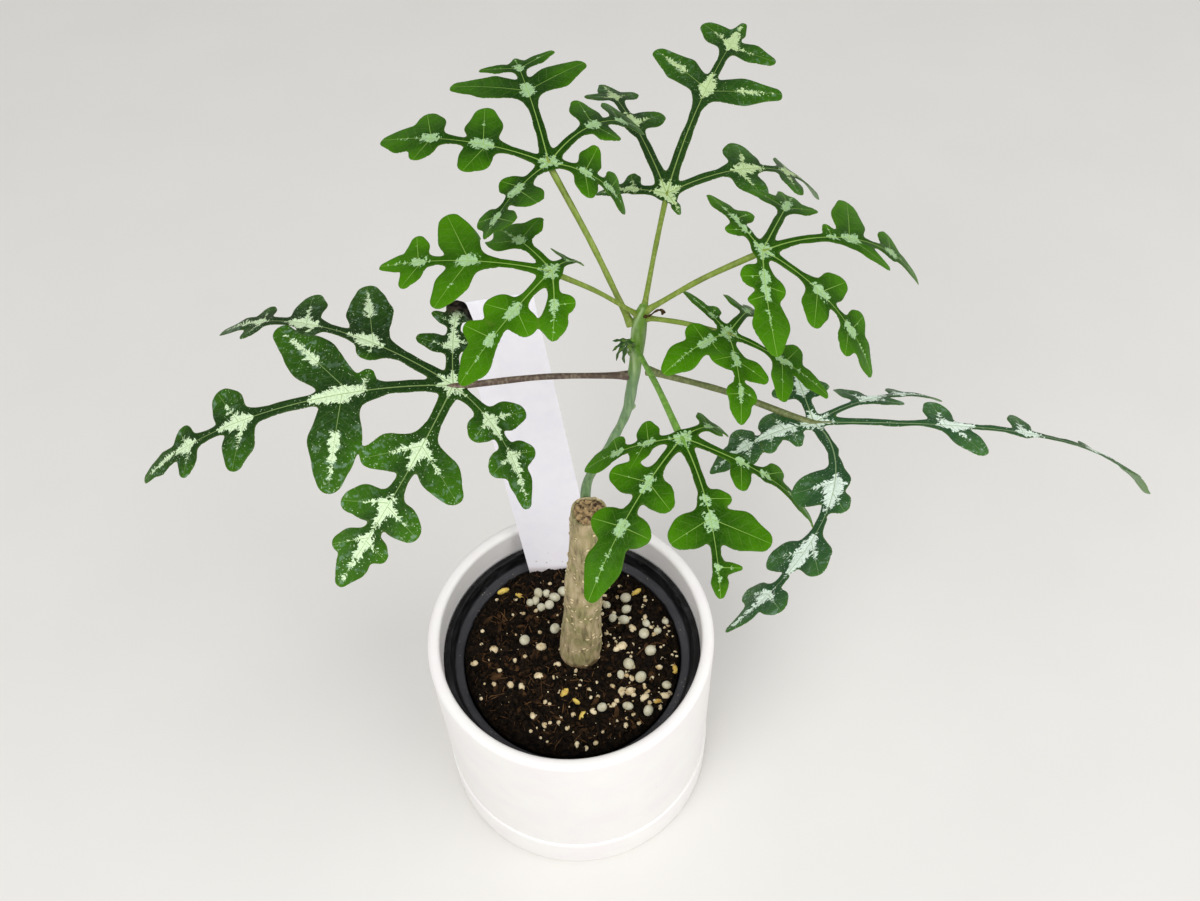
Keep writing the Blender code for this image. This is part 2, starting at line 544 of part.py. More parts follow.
def rib_coordinates(lobe, points):
    """How far along a lobe's midrib each point of the plane lies, and how far to its left."""
    turn, radius = rib_arc(lobe)
    away = points - radius * np.array((-math.sin(turn), math.cos(turn)))
    sense = math.copysign(1, radius)
    angle = np.arctan2(away[:, 0] * sense, -away[:, 1] * sense)
    sweep = (angle - turn + math.pi) % (2 * math.pi) - math.pi
    return sweep * radius, radius - sense * np.hypot(away[:, 0], away[:, 1])


def last_lobule(lobe):
    """Place along the midrib where a lobe's last lobule branches off."""
    return max([lobule[0] for lobule in lobe[7]], default=0.3 * lobe[1])


def lobe_drops(leaf, lobe):
    """The drops that a lobe's outline is made of, in groups: its rib's strip and end, then each lobule.

    The strip narrows towards the tip and flares where a lobule leaves it. A lobule and the end are
    widest near their middle and round at their tip.
    """
    length, end_half, lobules, neck = lobe[1], lobe[6], lobe[7], leaf["neck"]
    last = last_lobule(lobe)
    stops = np.linspace(0, last, 5)
    strip, _ = rib_point(lobe, stops)
    halves = neck * (1 - NECK_TAPER * stops / length)
    rib = list(zip(strip[:-1], strip[1:], halves[:-1], halves[1:]))
    end, _ = rib_point(lobe, (last, (last + length) / 2, length - END_TIP * end_half))
    rib.append((end[0], end[1], END_NECK * end_half, end_half))
    rib.append((end[1], end[2], end_half, END_TIP * end_half))
    groups = [rib]
    for along, angle, reach, half in lobules:
        flare, _ = rib_point(lobe, (max(0, along - 1.5 * half), along, min(along + 1.2 * half, length - 1)))
        rib.append((flare[0], flare[1], 0.8 * neck, 0.6 * half))
        rib.append((flare[1], flare[2], 0.5 * half, 0.8 * neck))
        start, way = rib_point(lobe, along)
        way = way + math.radians(angle)
        out = np.array((math.cos(way), math.sin(way)))
        widest = start + out * min(0.48 * reach, reach - half)
        tip = half * min(0.75, 0.15 + 1.4 * half / reach)
        groups.append([(start, widest, 0.55 * half, half), (widest, start + out * (reach - tip), half, tip)])
    return groups


def melted(distances):
    """One smooth distance from several, their fillets as wide as MELT makes them."""
    return -MELT * np.log(np.exp(-np.maximum(distances, -20) / MELT).sum(0))


def lobe_distance(leaf, lobe, points):
    """Signed distance from points of the leaf's plane to one lobe's outline."""
    groups = lobe_drops(leaf, lobe)
    nearest = [np.stack([round_cone(points, *drop) for drop in group]).min(0) for group in groups]
    return melted(np.stack(nearest))


def leaf_distance(leaf, points):
    """Signed distance from points of the leaf's plane to the whole outline."""
    return melted(np.stack([lobe_distance(leaf, lobe, points) for lobe in leaf["lobes"]]))


def leaf_axes(leaf):
    """The middle lobe's forward, left and up directions where the blade starts."""
    heading, pitch, bank = np.radians(leaf["aim"])
    ahead = np.array((math.cos(heading), math.sin(heading), 0))
    forward = math.cos(pitch) * ahead + np.array((0, 0, math.sin(pitch)))
    left = np.array((-math.sin(heading), math.cos(heading), 0))
    up = np.cross(forward, left)
    return (forward, math.cos(bank) * left + math.sin(bank) * up, math.cos(bank) * up - math.sin(bank) * left)


def lobe_axes(leaf, lobe, along):
    """Directions along, across and over a lobe's midrib, which droops, swings and twists to its tip."""
    turn, length, rise, droop, swing, twist = lobe[:6]
    forward, left, up = leaf_axes(leaf)
    share = np.minimum(along / length, 1.05)[:, None]
    dip = np.radians(droop * share - rise)
    way = np.radians(turn + swing * share)
    roll = np.radians(twist * share)
    flat = np.cos(way) * forward + np.sin(way) * left
    side = np.cos(way) * left - np.sin(way) * forward
    over = np.sin(dip) * flat + np.cos(dip) * up
    tangent = np.cos(dip) * flat - np.sin(dip) * up
    return tangent, np.cos(roll) * side + np.sin(roll) * over, np.cos(roll) * over - np.sin(roll) * side


def lobe_surface(leaf, lobe, points):
    """Carry points of the leaf's plane onto a lobe: along its bent midrib, and arched across it."""
    along, across = rib_coordinates(lobe, points)
    steps = np.arange(-RIB_LEAD, RIB_END, 1.0)
    tangent, _, _ = lobe_axes(leaf, lobe, (steps[1:] + steps[:-1]) / 2)
    path = np.vstack(((0, 0, 0), np.cumsum(tangent, axis=0)))
    path -= path[RIB_LEAD]
    spine = np.stack([np.interp(along, steps, path[:, k]) for k in range(3)], -1)
    _, side, over = lobe_axes(leaf, lobe, along)
    arch = CROSS_ARCH * across[:, None]
    arched = side * np.sin(arch) / CROSS_ARCH - over * (1 - np.cos(arch)) / CROSS_ARCH
    return np.array(leaf["base"]) + spine + arched


def leaf_surface(leaf, points):
    """Carry points of the leaf's plane into space, each lobe's bend passing smoothly into the next."""
    distances = np.stack([lobe_distance(leaf, lobe, points) for lobe in leaf["lobes"]])
    weights = np.exp(-(distances - distances.min(0)) / LOBE_BLEND)
    weights /= weights.sum(0)
    surfaces = np.stack([lobe_surface(leaf, lobe, points) for lobe in leaf["lobes"]])
    return (weights[:, :, None] * surfaces).sum(0)


def rib_distance(leaf, points):
    """Distance from points of the leaf's plane to the nearest midrib."""
    nearest = np.full(len(points), 99.0)
    for lobe in leaf["lobes"]:
        along, across = rib_coordinates(lobe, points)
        past = np.maximum(np.maximum(-along, along - lobe[1]), 0)
        nearest = np.minimum(nearest, np.hypot(across, past))
    return nearest


def simplified(points, tolerance):
    """Drop the points of an open line that lie within a tolerance of the chords that remain."""
    if len(points) < 3:
        return points
    chord = points[-1] - points[0]
    length = max(np.hypot(*chord), 1e-9)
    offset = points - points[0]
    off = np.abs(offset[:, 0] * chord[1] - offset[:, 1] * chord[0]) / length
    far = int(off.argmax())
    if off[far] < tolerance:
        return points[[0, -1]]
    return np.vstack((simplified(points[:far + 1], tolerance)[:-1], simplified(points[far:], tolerance)))


def loop_area(loop):
    """Area inside a closed line of the plane."""
    x, y = loop.T
    return abs(np.sum(x * np.roll(y, -1) - y * np.roll(x, -1))) / 2


def inside(loop, points):
    """Which points lie inside a closed line: a ray to the right meets it an odd number of times."""
    start, end = loop[:, None], np.roll(loop, -1, axis=0)[:, None]
    spans = (start[..., 1] > points[:, 1]) != (end[..., 1] > points[:, 1])
    rise = np.where(end[..., 1] == start[..., 1], 1, end[..., 1] - start[..., 1])
    meets = start[..., 0] + (points[:, 1] - start[..., 1]) * (end[..., 0] - start[..., 0]) / rise
    return (spans & (points[:, 0] < meets)).sum(0) % 2 == 1


def leaf_outlines(leaf):
    """The leaf's outline in its own plane and any gap inside it, cut where the distance is nought."""
    reach = max(lobe[1] for lobe in leaf["lobes"]) + 3
    lines = np.arange(-reach, reach, OUTLINE_STEP)
    columns = len(lines)
    grid = np.stack(np.meshgrid(lines, lines), -1).reshape(-1, 2)
    height = leaf_distance(leaf, grid)
    shape = bmesh.new()
    low = (np.arange(columns - 1)[:, None] * columns + np.arange(columns - 1)).reshape(-1)
    quads = np.stack((low, low + 1, low + columns + 1, low + columns), -1)
    quads = quads[height[quads].min(1) < 0.5]
    made = {}
    for k in np.unique(quads):
        made[k] = shape.verts.new((*grid[k], height[k]))
    for a, b, c, d in quads:
        shape.faces.new((made[a], made[b], made[c]))
        shape.faces.new((made[a], made[c], made[d]))
    everything = list(shape.verts) + list(shape.edges) + list(shape.faces)
    bmesh.ops.bisect_plane(shape, geom=everything, dist=1e-5, plane_no=(0, 0, 1), clear_outer=True)
    follow = {}
    for edge in shape.edges:
        if edge.is_boundary:
            first = edge.link_loops[0].vert
            follow[first] = edge.other_vert(first)
    loops = []
    while follow:
        start, here = follow.popitem()
        loop = [start]
        while here in follow:
            loop.append(here)
            here = follow.pop(here)
        loops.append(np.array([v.co[:2] for v in loop]))
    shape.free()
    outlines = []
    for loop in sorted(loops, key=loop_area, reverse=True):
        if loop_area(loop) > LEAST_GAP:
            half = len(loop) // 2
            halves = (loop[:half + 1], np.vstack((loop[half:], loop[:1])))
            outlines.append(np.vstack([simplified(line, OUTLINE_TOLERANCE)[:-1] for line in halves]))
    return outlines


def blade(name, leaf, finish):
    """A leaf's blade: its outline, split into triangles alike on both faces, thicker along its ribs."""
    outlines = leaf_outlines(leaf)
    inner = [rib_point(lobe, np.arange(0, lobe[1] - 2, INNER_STEP))[0] for lobe in leaf["lobes"]]
    reach = max(lobe[1] for lobe in leaf["lobes"])
    rows = np.arange(-reach, reach, INNER_STEP * 0.87)
    spread = np.array([(x + INNER_STEP / 2 * (i % 2), y) for i, y in enumerate(rows)
                       for x in np.arange(-reach, reach, INNER_STEP)])
    spread = spread[(leaf_distance(leaf, spread) < -1.6) & (rib_distance(leaf, spread) > 2.2)]
    inner.append(spread)
    inner = np.vstack(inner)
    inner = inner[leaf_distance(leaf, inner) < -0.7]
    edges, count = [], 0
    for line in outlines:
        edges += [(count + k, count + (k + 1) % len(line)) for k in range(len(line))]
        count += len(line)
    points = np.vstack((*outlines, inner))
    split = delaunay_2d_cdt([Vector(p) for p in points], edges, [], 1, 1e-4)
    flat, triangles = np.array([tuple(p) for p in split[0]]), np.array(split[2])
    middles = flat[triangles].mean(1)
    for gap in outlines[1:]:
        triangles = triangles[~inside(gap, middles)]
        middles = middles[~inside(gap, middles)]
    surface = leaf_surface(leaf, flat)
    a, b, c = (surface[triangles[:, k]] for k in range(3))
    facing = np.cross(b - a, c - a)
    normals = np.zeros_like(surface)
    for k in range(3):
        np.add.at(normals, triangles[:, k], facing)
    normals /= np.linalg.norm(normals, axis=1)[:, None]
    half = (BLADE_EDGE + (BLADE_RIB - BLADE_EDGE) * np.exp(-(rib_distance(leaf, flat) / RIB_REACH) ** 2)) / 2
    vertices = np.vstack((surface + normals * half[:, None], surface - normals * half[:, None]))
    total = len(flat)
    edges = {}
    for triangle in triangles:
        for k in range(3):
            edges[(triangle[k], triangle[(k + 1) % 3])] = True
    rim = [(i, j) for i, j in edges if (j, i) not in edges]
    faces = [tuple(t) for t in triangles] + [tuple(t[::-1] + total) for t in triangles]
    for i, j in rim:
        faces += [(j, i, i + total), (j, i + total, j + total)]
    made = add_object(name, vertices, faces, finish)
    face_outwards(made)
    return made


def stalk(leaf):
    """A leaf's stalk: a slightly bowed tube that runs out inside the middle lobe's rib."""
    root, base = np.array(leaf["root"], float), np.array(leaf["base"], float)
    forward, _, _ = leaf_axes(leaf)
    middle = (root + base) / 2 + (0, 0, 0.03 * np.linalg.norm(base - root))
    radius = leaf["stalk"] / 2
    rows = [(*root, 1.35 * radius), (*(root + 0.12 * (base - root) + (0, 0, 0.4)), radius), (*middle, radius),
            (*(base - 0.06 * (base - root)), radius), (*(base + 1.2 * forward), 0.75 * radius),
            (*(base + 5.0 * forward), 0.3)]
    return tube("stalk", smooth_route(rows, STALK_ROWS), STALK_SIDES)


def grown_leaf(name, leaf):
    """Blade and stalk in one solid, cut off just clear of the shoot."""
    made = blade(name, leaf, "dark_leaf" if name in DARK_LEAVES else "bright_leaf")
    boolean(made, [stalk(leaf)], "UNION")
    boolean(made, [tube("clear", shoot_rows(TOUCH), SHOOT_SIDES)], "DIFFERENCE")
    shade_round(made, 60)


def label_plate(name, clearance=0.0, finish=None):
    """A plain plastic plant label, pointed below the soil, leaning back and to the left."""
    foot, head = Vector(LABEL_FOOT), Vector(LABEL_HEAD)
    up = (head - foot).normalized()
    across = Vector((1, 0, 0)) - up * up.x
    across.normalize()
    through = across.cross(up)
    half, thick = LABEL_WIDTH / 2 + clearance, LABEL_THICKNESS / 2 + clearance
    top = (head - foot).length if finish else 6
    low, tip = LABEL_BURIED + clearance, LABEL_TIP_HALF + clearance
    outline = ((half, top), (-half, top), (-half, LABEL_POINT - low), (-tip, -low), (tip, -low),
               (half, LABEL_POINT - low))
    vertices = [foot + across * x + up * y + through * z for z in (-thick, thick) for x, y in outline]
    count = len(outline)
    faces = [tuple(range(count)), tuple(range(2 * count - 1, count - 1, -1))]
    faces += [(k, (k + 1) % count, (k + 1) % count + count, k + count) for k in range(count)]
    made = add_object(name, vertices, faces, finish)
    face_outwards(made)
    return made


for old in list(bpy.data.objects):
    bpy.data.objects.remove(old)
saucer()
ceramic_pot()
nursery_pot()
soil()
trunk()
shoot()
for leaf_name, leaf_values in LEAVES.items():
    grown_leaf(leaf_name, leaf_values)
label_plate("plant_label", finish="label_plastic")
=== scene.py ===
"""A young adenia cutting in its nursery pot, standing in a white glazed pot on its saucer."""
import math
from collections import namedtuple

import bmesh
import bpy
import numpy as np
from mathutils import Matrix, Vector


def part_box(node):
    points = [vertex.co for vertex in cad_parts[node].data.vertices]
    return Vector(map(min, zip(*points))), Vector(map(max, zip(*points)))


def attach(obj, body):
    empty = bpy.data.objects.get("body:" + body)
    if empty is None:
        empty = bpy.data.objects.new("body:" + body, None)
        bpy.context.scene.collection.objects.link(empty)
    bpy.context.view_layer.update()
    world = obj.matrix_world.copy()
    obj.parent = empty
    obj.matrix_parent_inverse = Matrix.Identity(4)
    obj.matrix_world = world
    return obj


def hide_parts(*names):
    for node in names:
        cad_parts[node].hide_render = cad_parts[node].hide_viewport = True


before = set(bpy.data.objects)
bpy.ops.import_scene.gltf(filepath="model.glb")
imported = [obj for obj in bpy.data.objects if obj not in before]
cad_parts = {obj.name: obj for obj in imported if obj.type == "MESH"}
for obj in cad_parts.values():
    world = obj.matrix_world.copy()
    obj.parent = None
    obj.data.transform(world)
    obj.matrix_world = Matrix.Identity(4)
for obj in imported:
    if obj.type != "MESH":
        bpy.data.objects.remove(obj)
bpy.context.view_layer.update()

# The saucer is a shallow dish of white stoneware with a flat underside and an upright wall.
# It was cast and dipped in a soft white glaze, so its edges are round and its colour is even.
# Only the ring that it stands on was wiped bare of glaze before firing.
MM = 0.001             # every size below is in millimetres
ROUND_STEPS = 224      # points round a turned piece
CORNER_STEPS = 7       # points round a softened corner
POLE = 0.01            # radius at which a turned piece closes on its axis
SAUCER_WALL = 3.4
SAUCER_FLOOR = 4.0
GLAZE_WHITE = (243, 241, 238)
BARE_CLAY = (214, 206, 192)
saucer_radius, saucer_height = (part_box("saucer")[1][k] / MM for k in (0, 2))


class Value:
    """One socket of a material's nodes. Arithmetic written with it adds Math nodes to that material."""

    def __init__(self, socket):
        self.socket = socket

    def add(self, kind, settings=None, sockets=None, output=0):
        """Add a node of a type, apply its settings, give its sockets values or links, return an output."""
        tree = self.socket.id_data
        node = tree.nodes.new("ShaderNode" + kind)
        for key, setting in (settings or {}).items():
            setattr(node, key, setting)
        for key, given in (sockets or {}).items():
            if isinstance(given, Value):
                tree.links.new(given.socket, node.inputs[key])
            else:
                node.inputs[key].default_value = given
        return Value(node.outputs[output])

    def math(self, operation, *others):
        return self.add("Math", {"operation": operation}, dict(enumerate((self, *others))))

    def __add__(self, other):
        return self.math("ADD", other)

    def __sub__(self, other):
        return self.math("SUBTRACT", other)

    def __mul__(self, other):
        return self.math("MULTIPLY", other)

    def __truediv__(self, other):
        return self.math("DIVIDE", other)

    def __rsub__(self, other):
        return (self * -1) + other

    __radd__ = __add__
    __rmul__ = __mul__

    def step(self, low, high):
        """Nought below low, one above high, and a smooth rise between."""
        return self.add("MapRange", {"interpolation_type": "SMOOTHSTEP"}, {0: self, 1: low, 2: high})

    def blend(self, *colours):
        """The first colour where this value is nought, the second where it is one.

        A colour is a value, or three numbers read off a screen, 0 to 255, which are made linear.
        """
        first, second = (given if isinstance(given, Value) else (*(np.array(given) / 255) ** 2.2, 1.0)
                         for given in colours)
        return self.add("Mix", {"data_type": "RGBA"}, {0: self, 6: first, 7: second}, 2)

    def read(self, attribute):
        """A number that the mesh keeps at each of its points or corners."""
        return self.add("Attribute", {"attribute_name": attribute}, output="Fac")

    def height(self):
        """How high this place is."""
        return self.add("SeparateXYZ", None, {0: self}, 2)

    def stretched(self, x, y, z):
        """A place whose axes are multiplied by three numbers."""
        return self.add("VectorMath", {"operation": "MULTIPLY"}, {0: self, 1: (x, y, z)})

    def noise(self, size, detail=2.0):
        """Smooth noise from 0 to 1 at this place, with lumps of a size in millimetres."""
        return self.add("TexNoise", None, {"Vector": self, "Scale": 1 / size, "Detail": detail})

    def cells(self, size, output="Distance", feature="F1"):
        """A cell pattern at this place: the distance to a cell's middle, in cells, or its random colour."""
        return self.add("TexVoronoi", {"feature": feature}, {"Vector": self, "Scale": 1 / size}, output)

    def bump(self, depth, normal=None):
        """A surface normal that rises by a depth in millimetres where this value is one."""
        sockets = {"Height": self, "Distance": depth * MM, "Strength": 1.0}
        if normal:
            sockets["Normal"] = normal
        return self.add("Bump", None, sockets)

    def feed(self, shader, name):
        """Link this value to a shader's socket."""
        self.socket.id_data.links.new(self.socket, shader.inputs[name])


def finish(name, sheen=0.5):
    """A new material, its shader, and the place on the object. Its sheen is how far it mirrors light."""
    made = bpy.data.materials.new(name)
    made.use_nodes = True
    shader = made.node_tree.nodes["Principled BSDF"]
    shader.inputs["Specular IOR Level"].default_value = sheen
    place = Value(Value(shader.outputs[0]).add("TexCoord", output="Object").socket)
    return made, shader, place.stretched(1 / MM, 1 / MM, 1 / MM)


def glaze():
    """White glaze: faintly uneven in colour and gloss, with a soft ripple, and bare clay underneath."""
    made, shader, place = finish("white_glaze")
    height = place.height()
    bare = 1 - height.step(0.15, 0.6)
    even = place.noise(14, 3)
    speck = (1 - place.cells(7.5).step(0.018, 0.03)) * place.noise(22).step(0.5, 0.6)
    white = even.step(0.3, 0.8).blend(GLAZE_WHITE, (240, 235, 236))
    white = (speck * 0.55).blend(white, (150, 120, 110))
    bare.blend(white, BARE_CLAY).feed(shader, "Base Color")
    (0.24 + even * 0.14 + bare * 0.5).feed(shader, "Roughness")
    place.noise(1.1, 3).bump(0.008, place.noise(11).bump(0.06)).feed(shader, "Normal")
    return made


def placed(name, data):
    """A new object of the scene that shows this mesh, light or camera."""
    made = bpy.data.objects.new(name, data)
    bpy.context.scene.collection.objects.link(made)
    return made


def piece(name, points, faces, materials, face_materials=None):
    """A piece from points in millimetres, each face's corners, and which material each face has."""
    mesh = bpy.data.meshes.new(name)
    mesh.from_pydata(np.asarray(points) * MM, [], faces)
    for material in materials:
        mesh.materials.append(material)
    if face_materials is not None:
        mesh.polygons.foreach_set("material_index", face_materials)
    return placed(name, mesh)


def smoothed(made, crease):
    """Shade a piece smooth, except over edges sharper than a crease in degrees."""
    made.data.shade_smooth()
    made.data.set_sharp_from_angle(angle=math.radians(crease))
    return made


def outwards(made, crease=40):
    """Turn a closed piece's faces to point out of it, and shade it smooth."""
    shape = bmesh.new()
    shape.from_mesh(made.data)
    bmesh.ops.recalc_face_normals(shape, faces=shape.faces)
    shape.to_mesh(made.data)
    shape.free()
    return smoothed(made, crease)


def unit(vectors):
    """The same directions, each one long."""
    return vectors / np.linalg.norm(vectors, axis=-1, keepdims=True)


def circle(steps):
    """Angles spaced evenly round a circle."""
    return np.linspace(0, 2 * math.pi, steps, endpoint=False)


def softened(corners):
    """Round each corner of a closed (radius, height, rounding) profile with a parabola."""
    corners = np.array(corners, float)
    place, rounding = corners[:, :2], corners[:, 2:]
    first, last = (place + unit(np.roll(place, way, 0) - place) * rounding for way in (1, -1))
    t = np.linspace(0, 1, CORNER_STEPS)[None, :, None]
    curve = (1 - t) ** 2 * first[:, None] + 2 * t * (1 - t) * place[:, None] + t ** 2 * last[:, None]
    return curve.reshape(-1, 2)


def grid_faces(rows, columns, closed=False):
    """Quads between neighbours on a grid of points. Its columns close round, and closed rows do too."""
    row, column = np.meshgrid(np.arange(rows if closed else rows - 1), np.arange(columns), indexing="ij")
    below, beside = (row + 1) % rows, (column + 1) % columns
    corners = ((row, column), (row, beside), (below, beside), (below, column))
    return np.stack([across * columns + along for across, along in corners], -1).reshape(-1, 4)


def turned(name, profile, material):
    """Sweep a closed (radius, height) profile round the Z axis: x = r cos a, y = r sin a, z = h."""
    angles = circle(ROUND_STEPS)[:, None]
    radius, height = profile.T
    points = np.stack((radius * np.cos(angles), radius * np.sin(angles), height + 0 * angles), -1)
    faces = grid_faces(ROUND_STEPS, len(profile), closed=True)
    return outwards(piece(name, points.reshape(-1, 3), faces, [material]))


white_glaze = glaze()
saucer_inner = saucer_radius - SAUCER_WALL
saucer_piece = turned("glazed_saucer", softened((
    (POLE, 0, 0), (saucer_radius - 9, 0, 0.8), (saucer_radius - 7.5, 0.5, 0.6),
    (saucer_radius - 4, 0.5, 0.6), (saucer_radius - 2.6, 0, 0.5), (saucer_radius, 0, 1.9),
    (saucer_radius, saucer_height, 1.1), (saucer_inner, saucer_height, 1.1),
    (saucer_inner, SAUCER_FLOOR, 1.6), (POLE, SAUCER_FLOOR, 0))), white_glaze)
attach(saucer_piece, "root")
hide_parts("saucer")

# The outer pot is a straight cylinder of the same stoneware, with a soft lip as wide as its wall.
# Its foot is cut in so that it drops inside the saucer's wall, and its floor has one drain hole.
POT_WALL = 4.3
POT_FLOOR = 5.0
POT_SHOULDER = 18.6    # height at which the wall steps in to enter the saucer
FOOT_PLAY = 0.6        # gap between the pot's foot and the saucer's wall
DRAIN_RADIUS = 7.0
pot_low, pot_high = (np.array(corner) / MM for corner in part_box("ceramic_pot"))
pot_radius, pot_top, pot_bottom = pot_high[0], pot_high[2], pot_low[2]
pot_inner = pot_radius - POT_WALL
pot_foot = saucer_inner - FOOT_PLAY
pot_floor = pot_bottom + POT_FLOOR
pot_piece = turned("glazed_pot", softened((
    (DRAIN_RADIUS, pot_bottom, 0.6), (pot_foot - 6, pot_bottom, 0.6), (pot_foot, pot_bottom, 1.4),
    (pot_foot, POT_SHOULDER, 0.3), (pot_radius, POT_SHOULDER, 1.3), (pot_radius, pot_top, 2.1),
    (pot_inner, pot_top, 2.1), (pot_inner, pot_floor, 3.2), (DRAIN_RADIUS, pot_floor, 1.0))), white_glaze)
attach(pot_piece, "root")
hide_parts("ceramic_pot")

# The nursery pot is the thin black one that the plant was sold in, moulded in one shot of soft plastic.
# A collar above a narrow ledge and a rolled rim stiffen its mouth, and round holes drain its base.
# Handling has left it faintly scuffed, with potting dust along the ledge, and the ledge is lightened by a
# painted reflection.
NURSERY_LEDGE = 42.9   # outside the wall, where the collar meets the ledge
NURSERY_NECK = 40.0    # outside the wall, just under the ledge
NURSERY_FOOT = 31.5
NURSERY_WALL = 0.9
PLASTIC_SHEEN = 0.25
NURSERY_DRAINS = 6
DRILL_RADIUS = 3.5
DRILL_CIRCLE = 19.5    # radius of the ring that the drain holes lie on


def pointing(way):
    """A direction across the floor, or across a leaf laid flat, from its angle."""
    return np.array((math.cos(way), math.sin(way)))


def black_plastic():
    """Black plastic with a satin skin: fine scratches round it, scuffs, a painted reflection and pale dust
    on the ledge.
    """
    made, shader, place = finish("black_plastic", PLASTIC_SHEEN)
    height = place.height()
    scuff = place.stretched(1, 1, 4).noise(6, 5)
    scratch = place.stretched(0.16, 0.16, 3).noise(1.2, 3).step(0.56, 0.72)
    ledge = 1 - height.step(nursery_rim_top - 5.6, nursery_rim_top - 4.4)
    dust = (1 - place.cells(1.3).step(0.10, 0.17)) * place.noise(7).step(0.46, 0.62) * (0.3 + ledge)
    black = scuff.step(0.35, 0.75).blend((17, 17, 18), (42, 42, 44))
    black = (scratch * 0.3).blend(black, (84, 85, 88))
    # Painted reflection: the upward-facing ledge is lightened to blue-grey as if it caught the light from
    # above.
    black = (ledge * 0.4).blend(black, (92, 92, 98))
    (dust * 0.7).math("MINIMUM", 1.0).blend(black, (176, 164, 140)).feed(shader, "Base Color")
    (0.34 + scuff * 0.22 + dust * 0.3).feed(shader, "Roughness")
    (scuff + scratch * 0.4).bump(0.05).feed(shader, "Normal")
    return made


nursery_low, nursery_high = (np.array(corner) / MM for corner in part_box("nursery_pot"))
nursery_rim, nursery_rim_top, nursery_bottom = nursery_high[0], nursery_high[2], nursery_low[2]
nursery_piece = turned("black_nursery_pot", softened((
    (POLE, nursery_bottom, 0), (NURSERY_FOOT, nursery_bottom, 1.4),
    (NURSERY_NECK, nursery_rim_top - 7.3, 0.6), (NURSERY_LEDGE, nursery_rim_top - 6.4, 0.5),
    (nursery_rim - 1.2, nursery_rim_top - 2.6, 0.6), (nursery_rim, nursery_rim_top - 1.6, 0.4),
    (nursery_rim, nursery_rim_top, 0.6),
    (nursery_rim - 1.9, nursery_rim_top, 0.6), (NURSERY_LEDGE - NURSERY_WALL, nursery_rim_top - 5.2, 0.7),
    (NURSERY_NECK - NURSERY_WALL, nursery_rim_top - 6.1, 0.5),
    (NURSERY_FOOT - NURSERY_WALL, nursery_bottom + NURSERY_WALL, 1.2),
    (POLE, nursery_bottom + NURSERY_WALL, 0))), black_plastic())
drill_shape = bmesh.new()
for drain_angle in circle(NURSERY_DRAINS):
    drill_place = np.array((*pointing(drain_angle) * DRILL_CIRCLE, nursery_bottom))
    drilled = bmesh.ops.create_cone(drill_shape, cap_ends=True, segments=32, depth=6 * MM,
                                    radius1=DRILL_RADIUS * MM, radius2=DRILL_RADIUS * MM)
    bmesh.ops.translate(drill_shape, verts=drilled["verts"], vec=drill_place * MM)
drill_mesh = bpy.data.meshes.new("drill")
drill_shape.to_mesh(drill_mesh)
drill_shape.free()
drill = placed("drill", drill_mesh)
drilling = nursery_piece.modifiers.new("drains", "BOOLEAN")
drilling.operation = "DIFFERENCE"
drilling.object = drill
drilled_pot = nursery_piece.evaluated_get(bpy.context.evaluated_depsgraph_get())
nursery_piece.data = bpy.data.meshes.new_from_object(drilled_pot)
nursery_piece.modifiers.clear()
bpy.data.objects.remove(drill)
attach(nursery_piece, "root")
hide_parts("nursery_pot")

# The potting mix is dark peat with shredded bark and fibre, opened with crushed white perlite.
# Round coated fertiliser beads and a few yellow husks lie on top, pressed in by watering.
# It fills the nursery pot to just under the collar and is heaped a little round the trunk.
SOIL_TOP = 78.5        # height of the surface midway between the trunk and the wall
TRUNK_FOOT = (3.1, 0.5)          # where the trunk's axis passes the surface
TRUNK_FOOT_RADIUS = 7.2
EDGE_DROP = 1.8        # how far the surface falls away at the pot's wall
EDGE_FALL = 5.0        # width of the ring over which it does so
LABEL_SLOT = (-2.9, 34.7)        # where the label's middle passes the surface
EARTH_SHEEN = 0.12
WAVES = 16             # sines that add up to lumps
SOIL_PLAY = 0.7        # gap between the mix and the pot's wall
SOIL_RINGS = 130       # rings of points on the surface, and the points of each
SOIL_SPOKES = 400
SOIL_SIDE_RINGS = 20
# Where the larger beads, husks and lumps of perlite lie, in whole millimetres from the pot's axis. They
# were picked by eye in the photograph, and most were carried to the mix by a script and the camera below.
BEADS = ((-17, 5), (-6, 9), (13, 18), (20, 20), (20, 16), (19, 12), (15, 13), (27, 10), (31, 7), (26, 6),
         (28, -1), (20, -6), (10, -22), (-15, 20), (-6, 22), (-9, 24), (-12, 24), (-8, 19), (-11, 18),
         (-13, 21), (34, 11), (17, -10), (24, -11), (19, -22), (26, -24), (33, -14), (-3, 25), (8, 24))
HUSKS = ((-3, -16), (1, -19), (-19, 24), (24, 23), (29, -20), (36, -8), (3, -24), (-25, 26))
PERLITE_LUMPS = ((-18, -13), (-35, -3), (-28, 2), (-12, -9), (-5, -5), (-11, 2), (14, -14), (17, -16),
                 (20, -16), (19, -10), (21, -11), (25, -19), (7, -23), (18, -29), (-14, -24), (-10, -28),
                 (-22, -12), (16, 0), (18, 1), (22, 9), (30, -22), (32, -18))


def lumps(points, size, seed):
    """Smooth noise about from -1 to 1: a sum of sines in random directions, their lengths about a size."""
    draw = np.random.default_rng(seed)
    ways = draw.normal(size=(WAVES, points.shape[-1]))
    ways *= (2 * math.pi / (size * draw.uniform(1.2, 2.6, WAVES)) / np.linalg.norm(ways, axis=1))[:, None]
    return np.sin(points @ ways.T + draw.uniform(0, 2 * math.pi, WAVES)).sum(-1) / math.sqrt(WAVES)


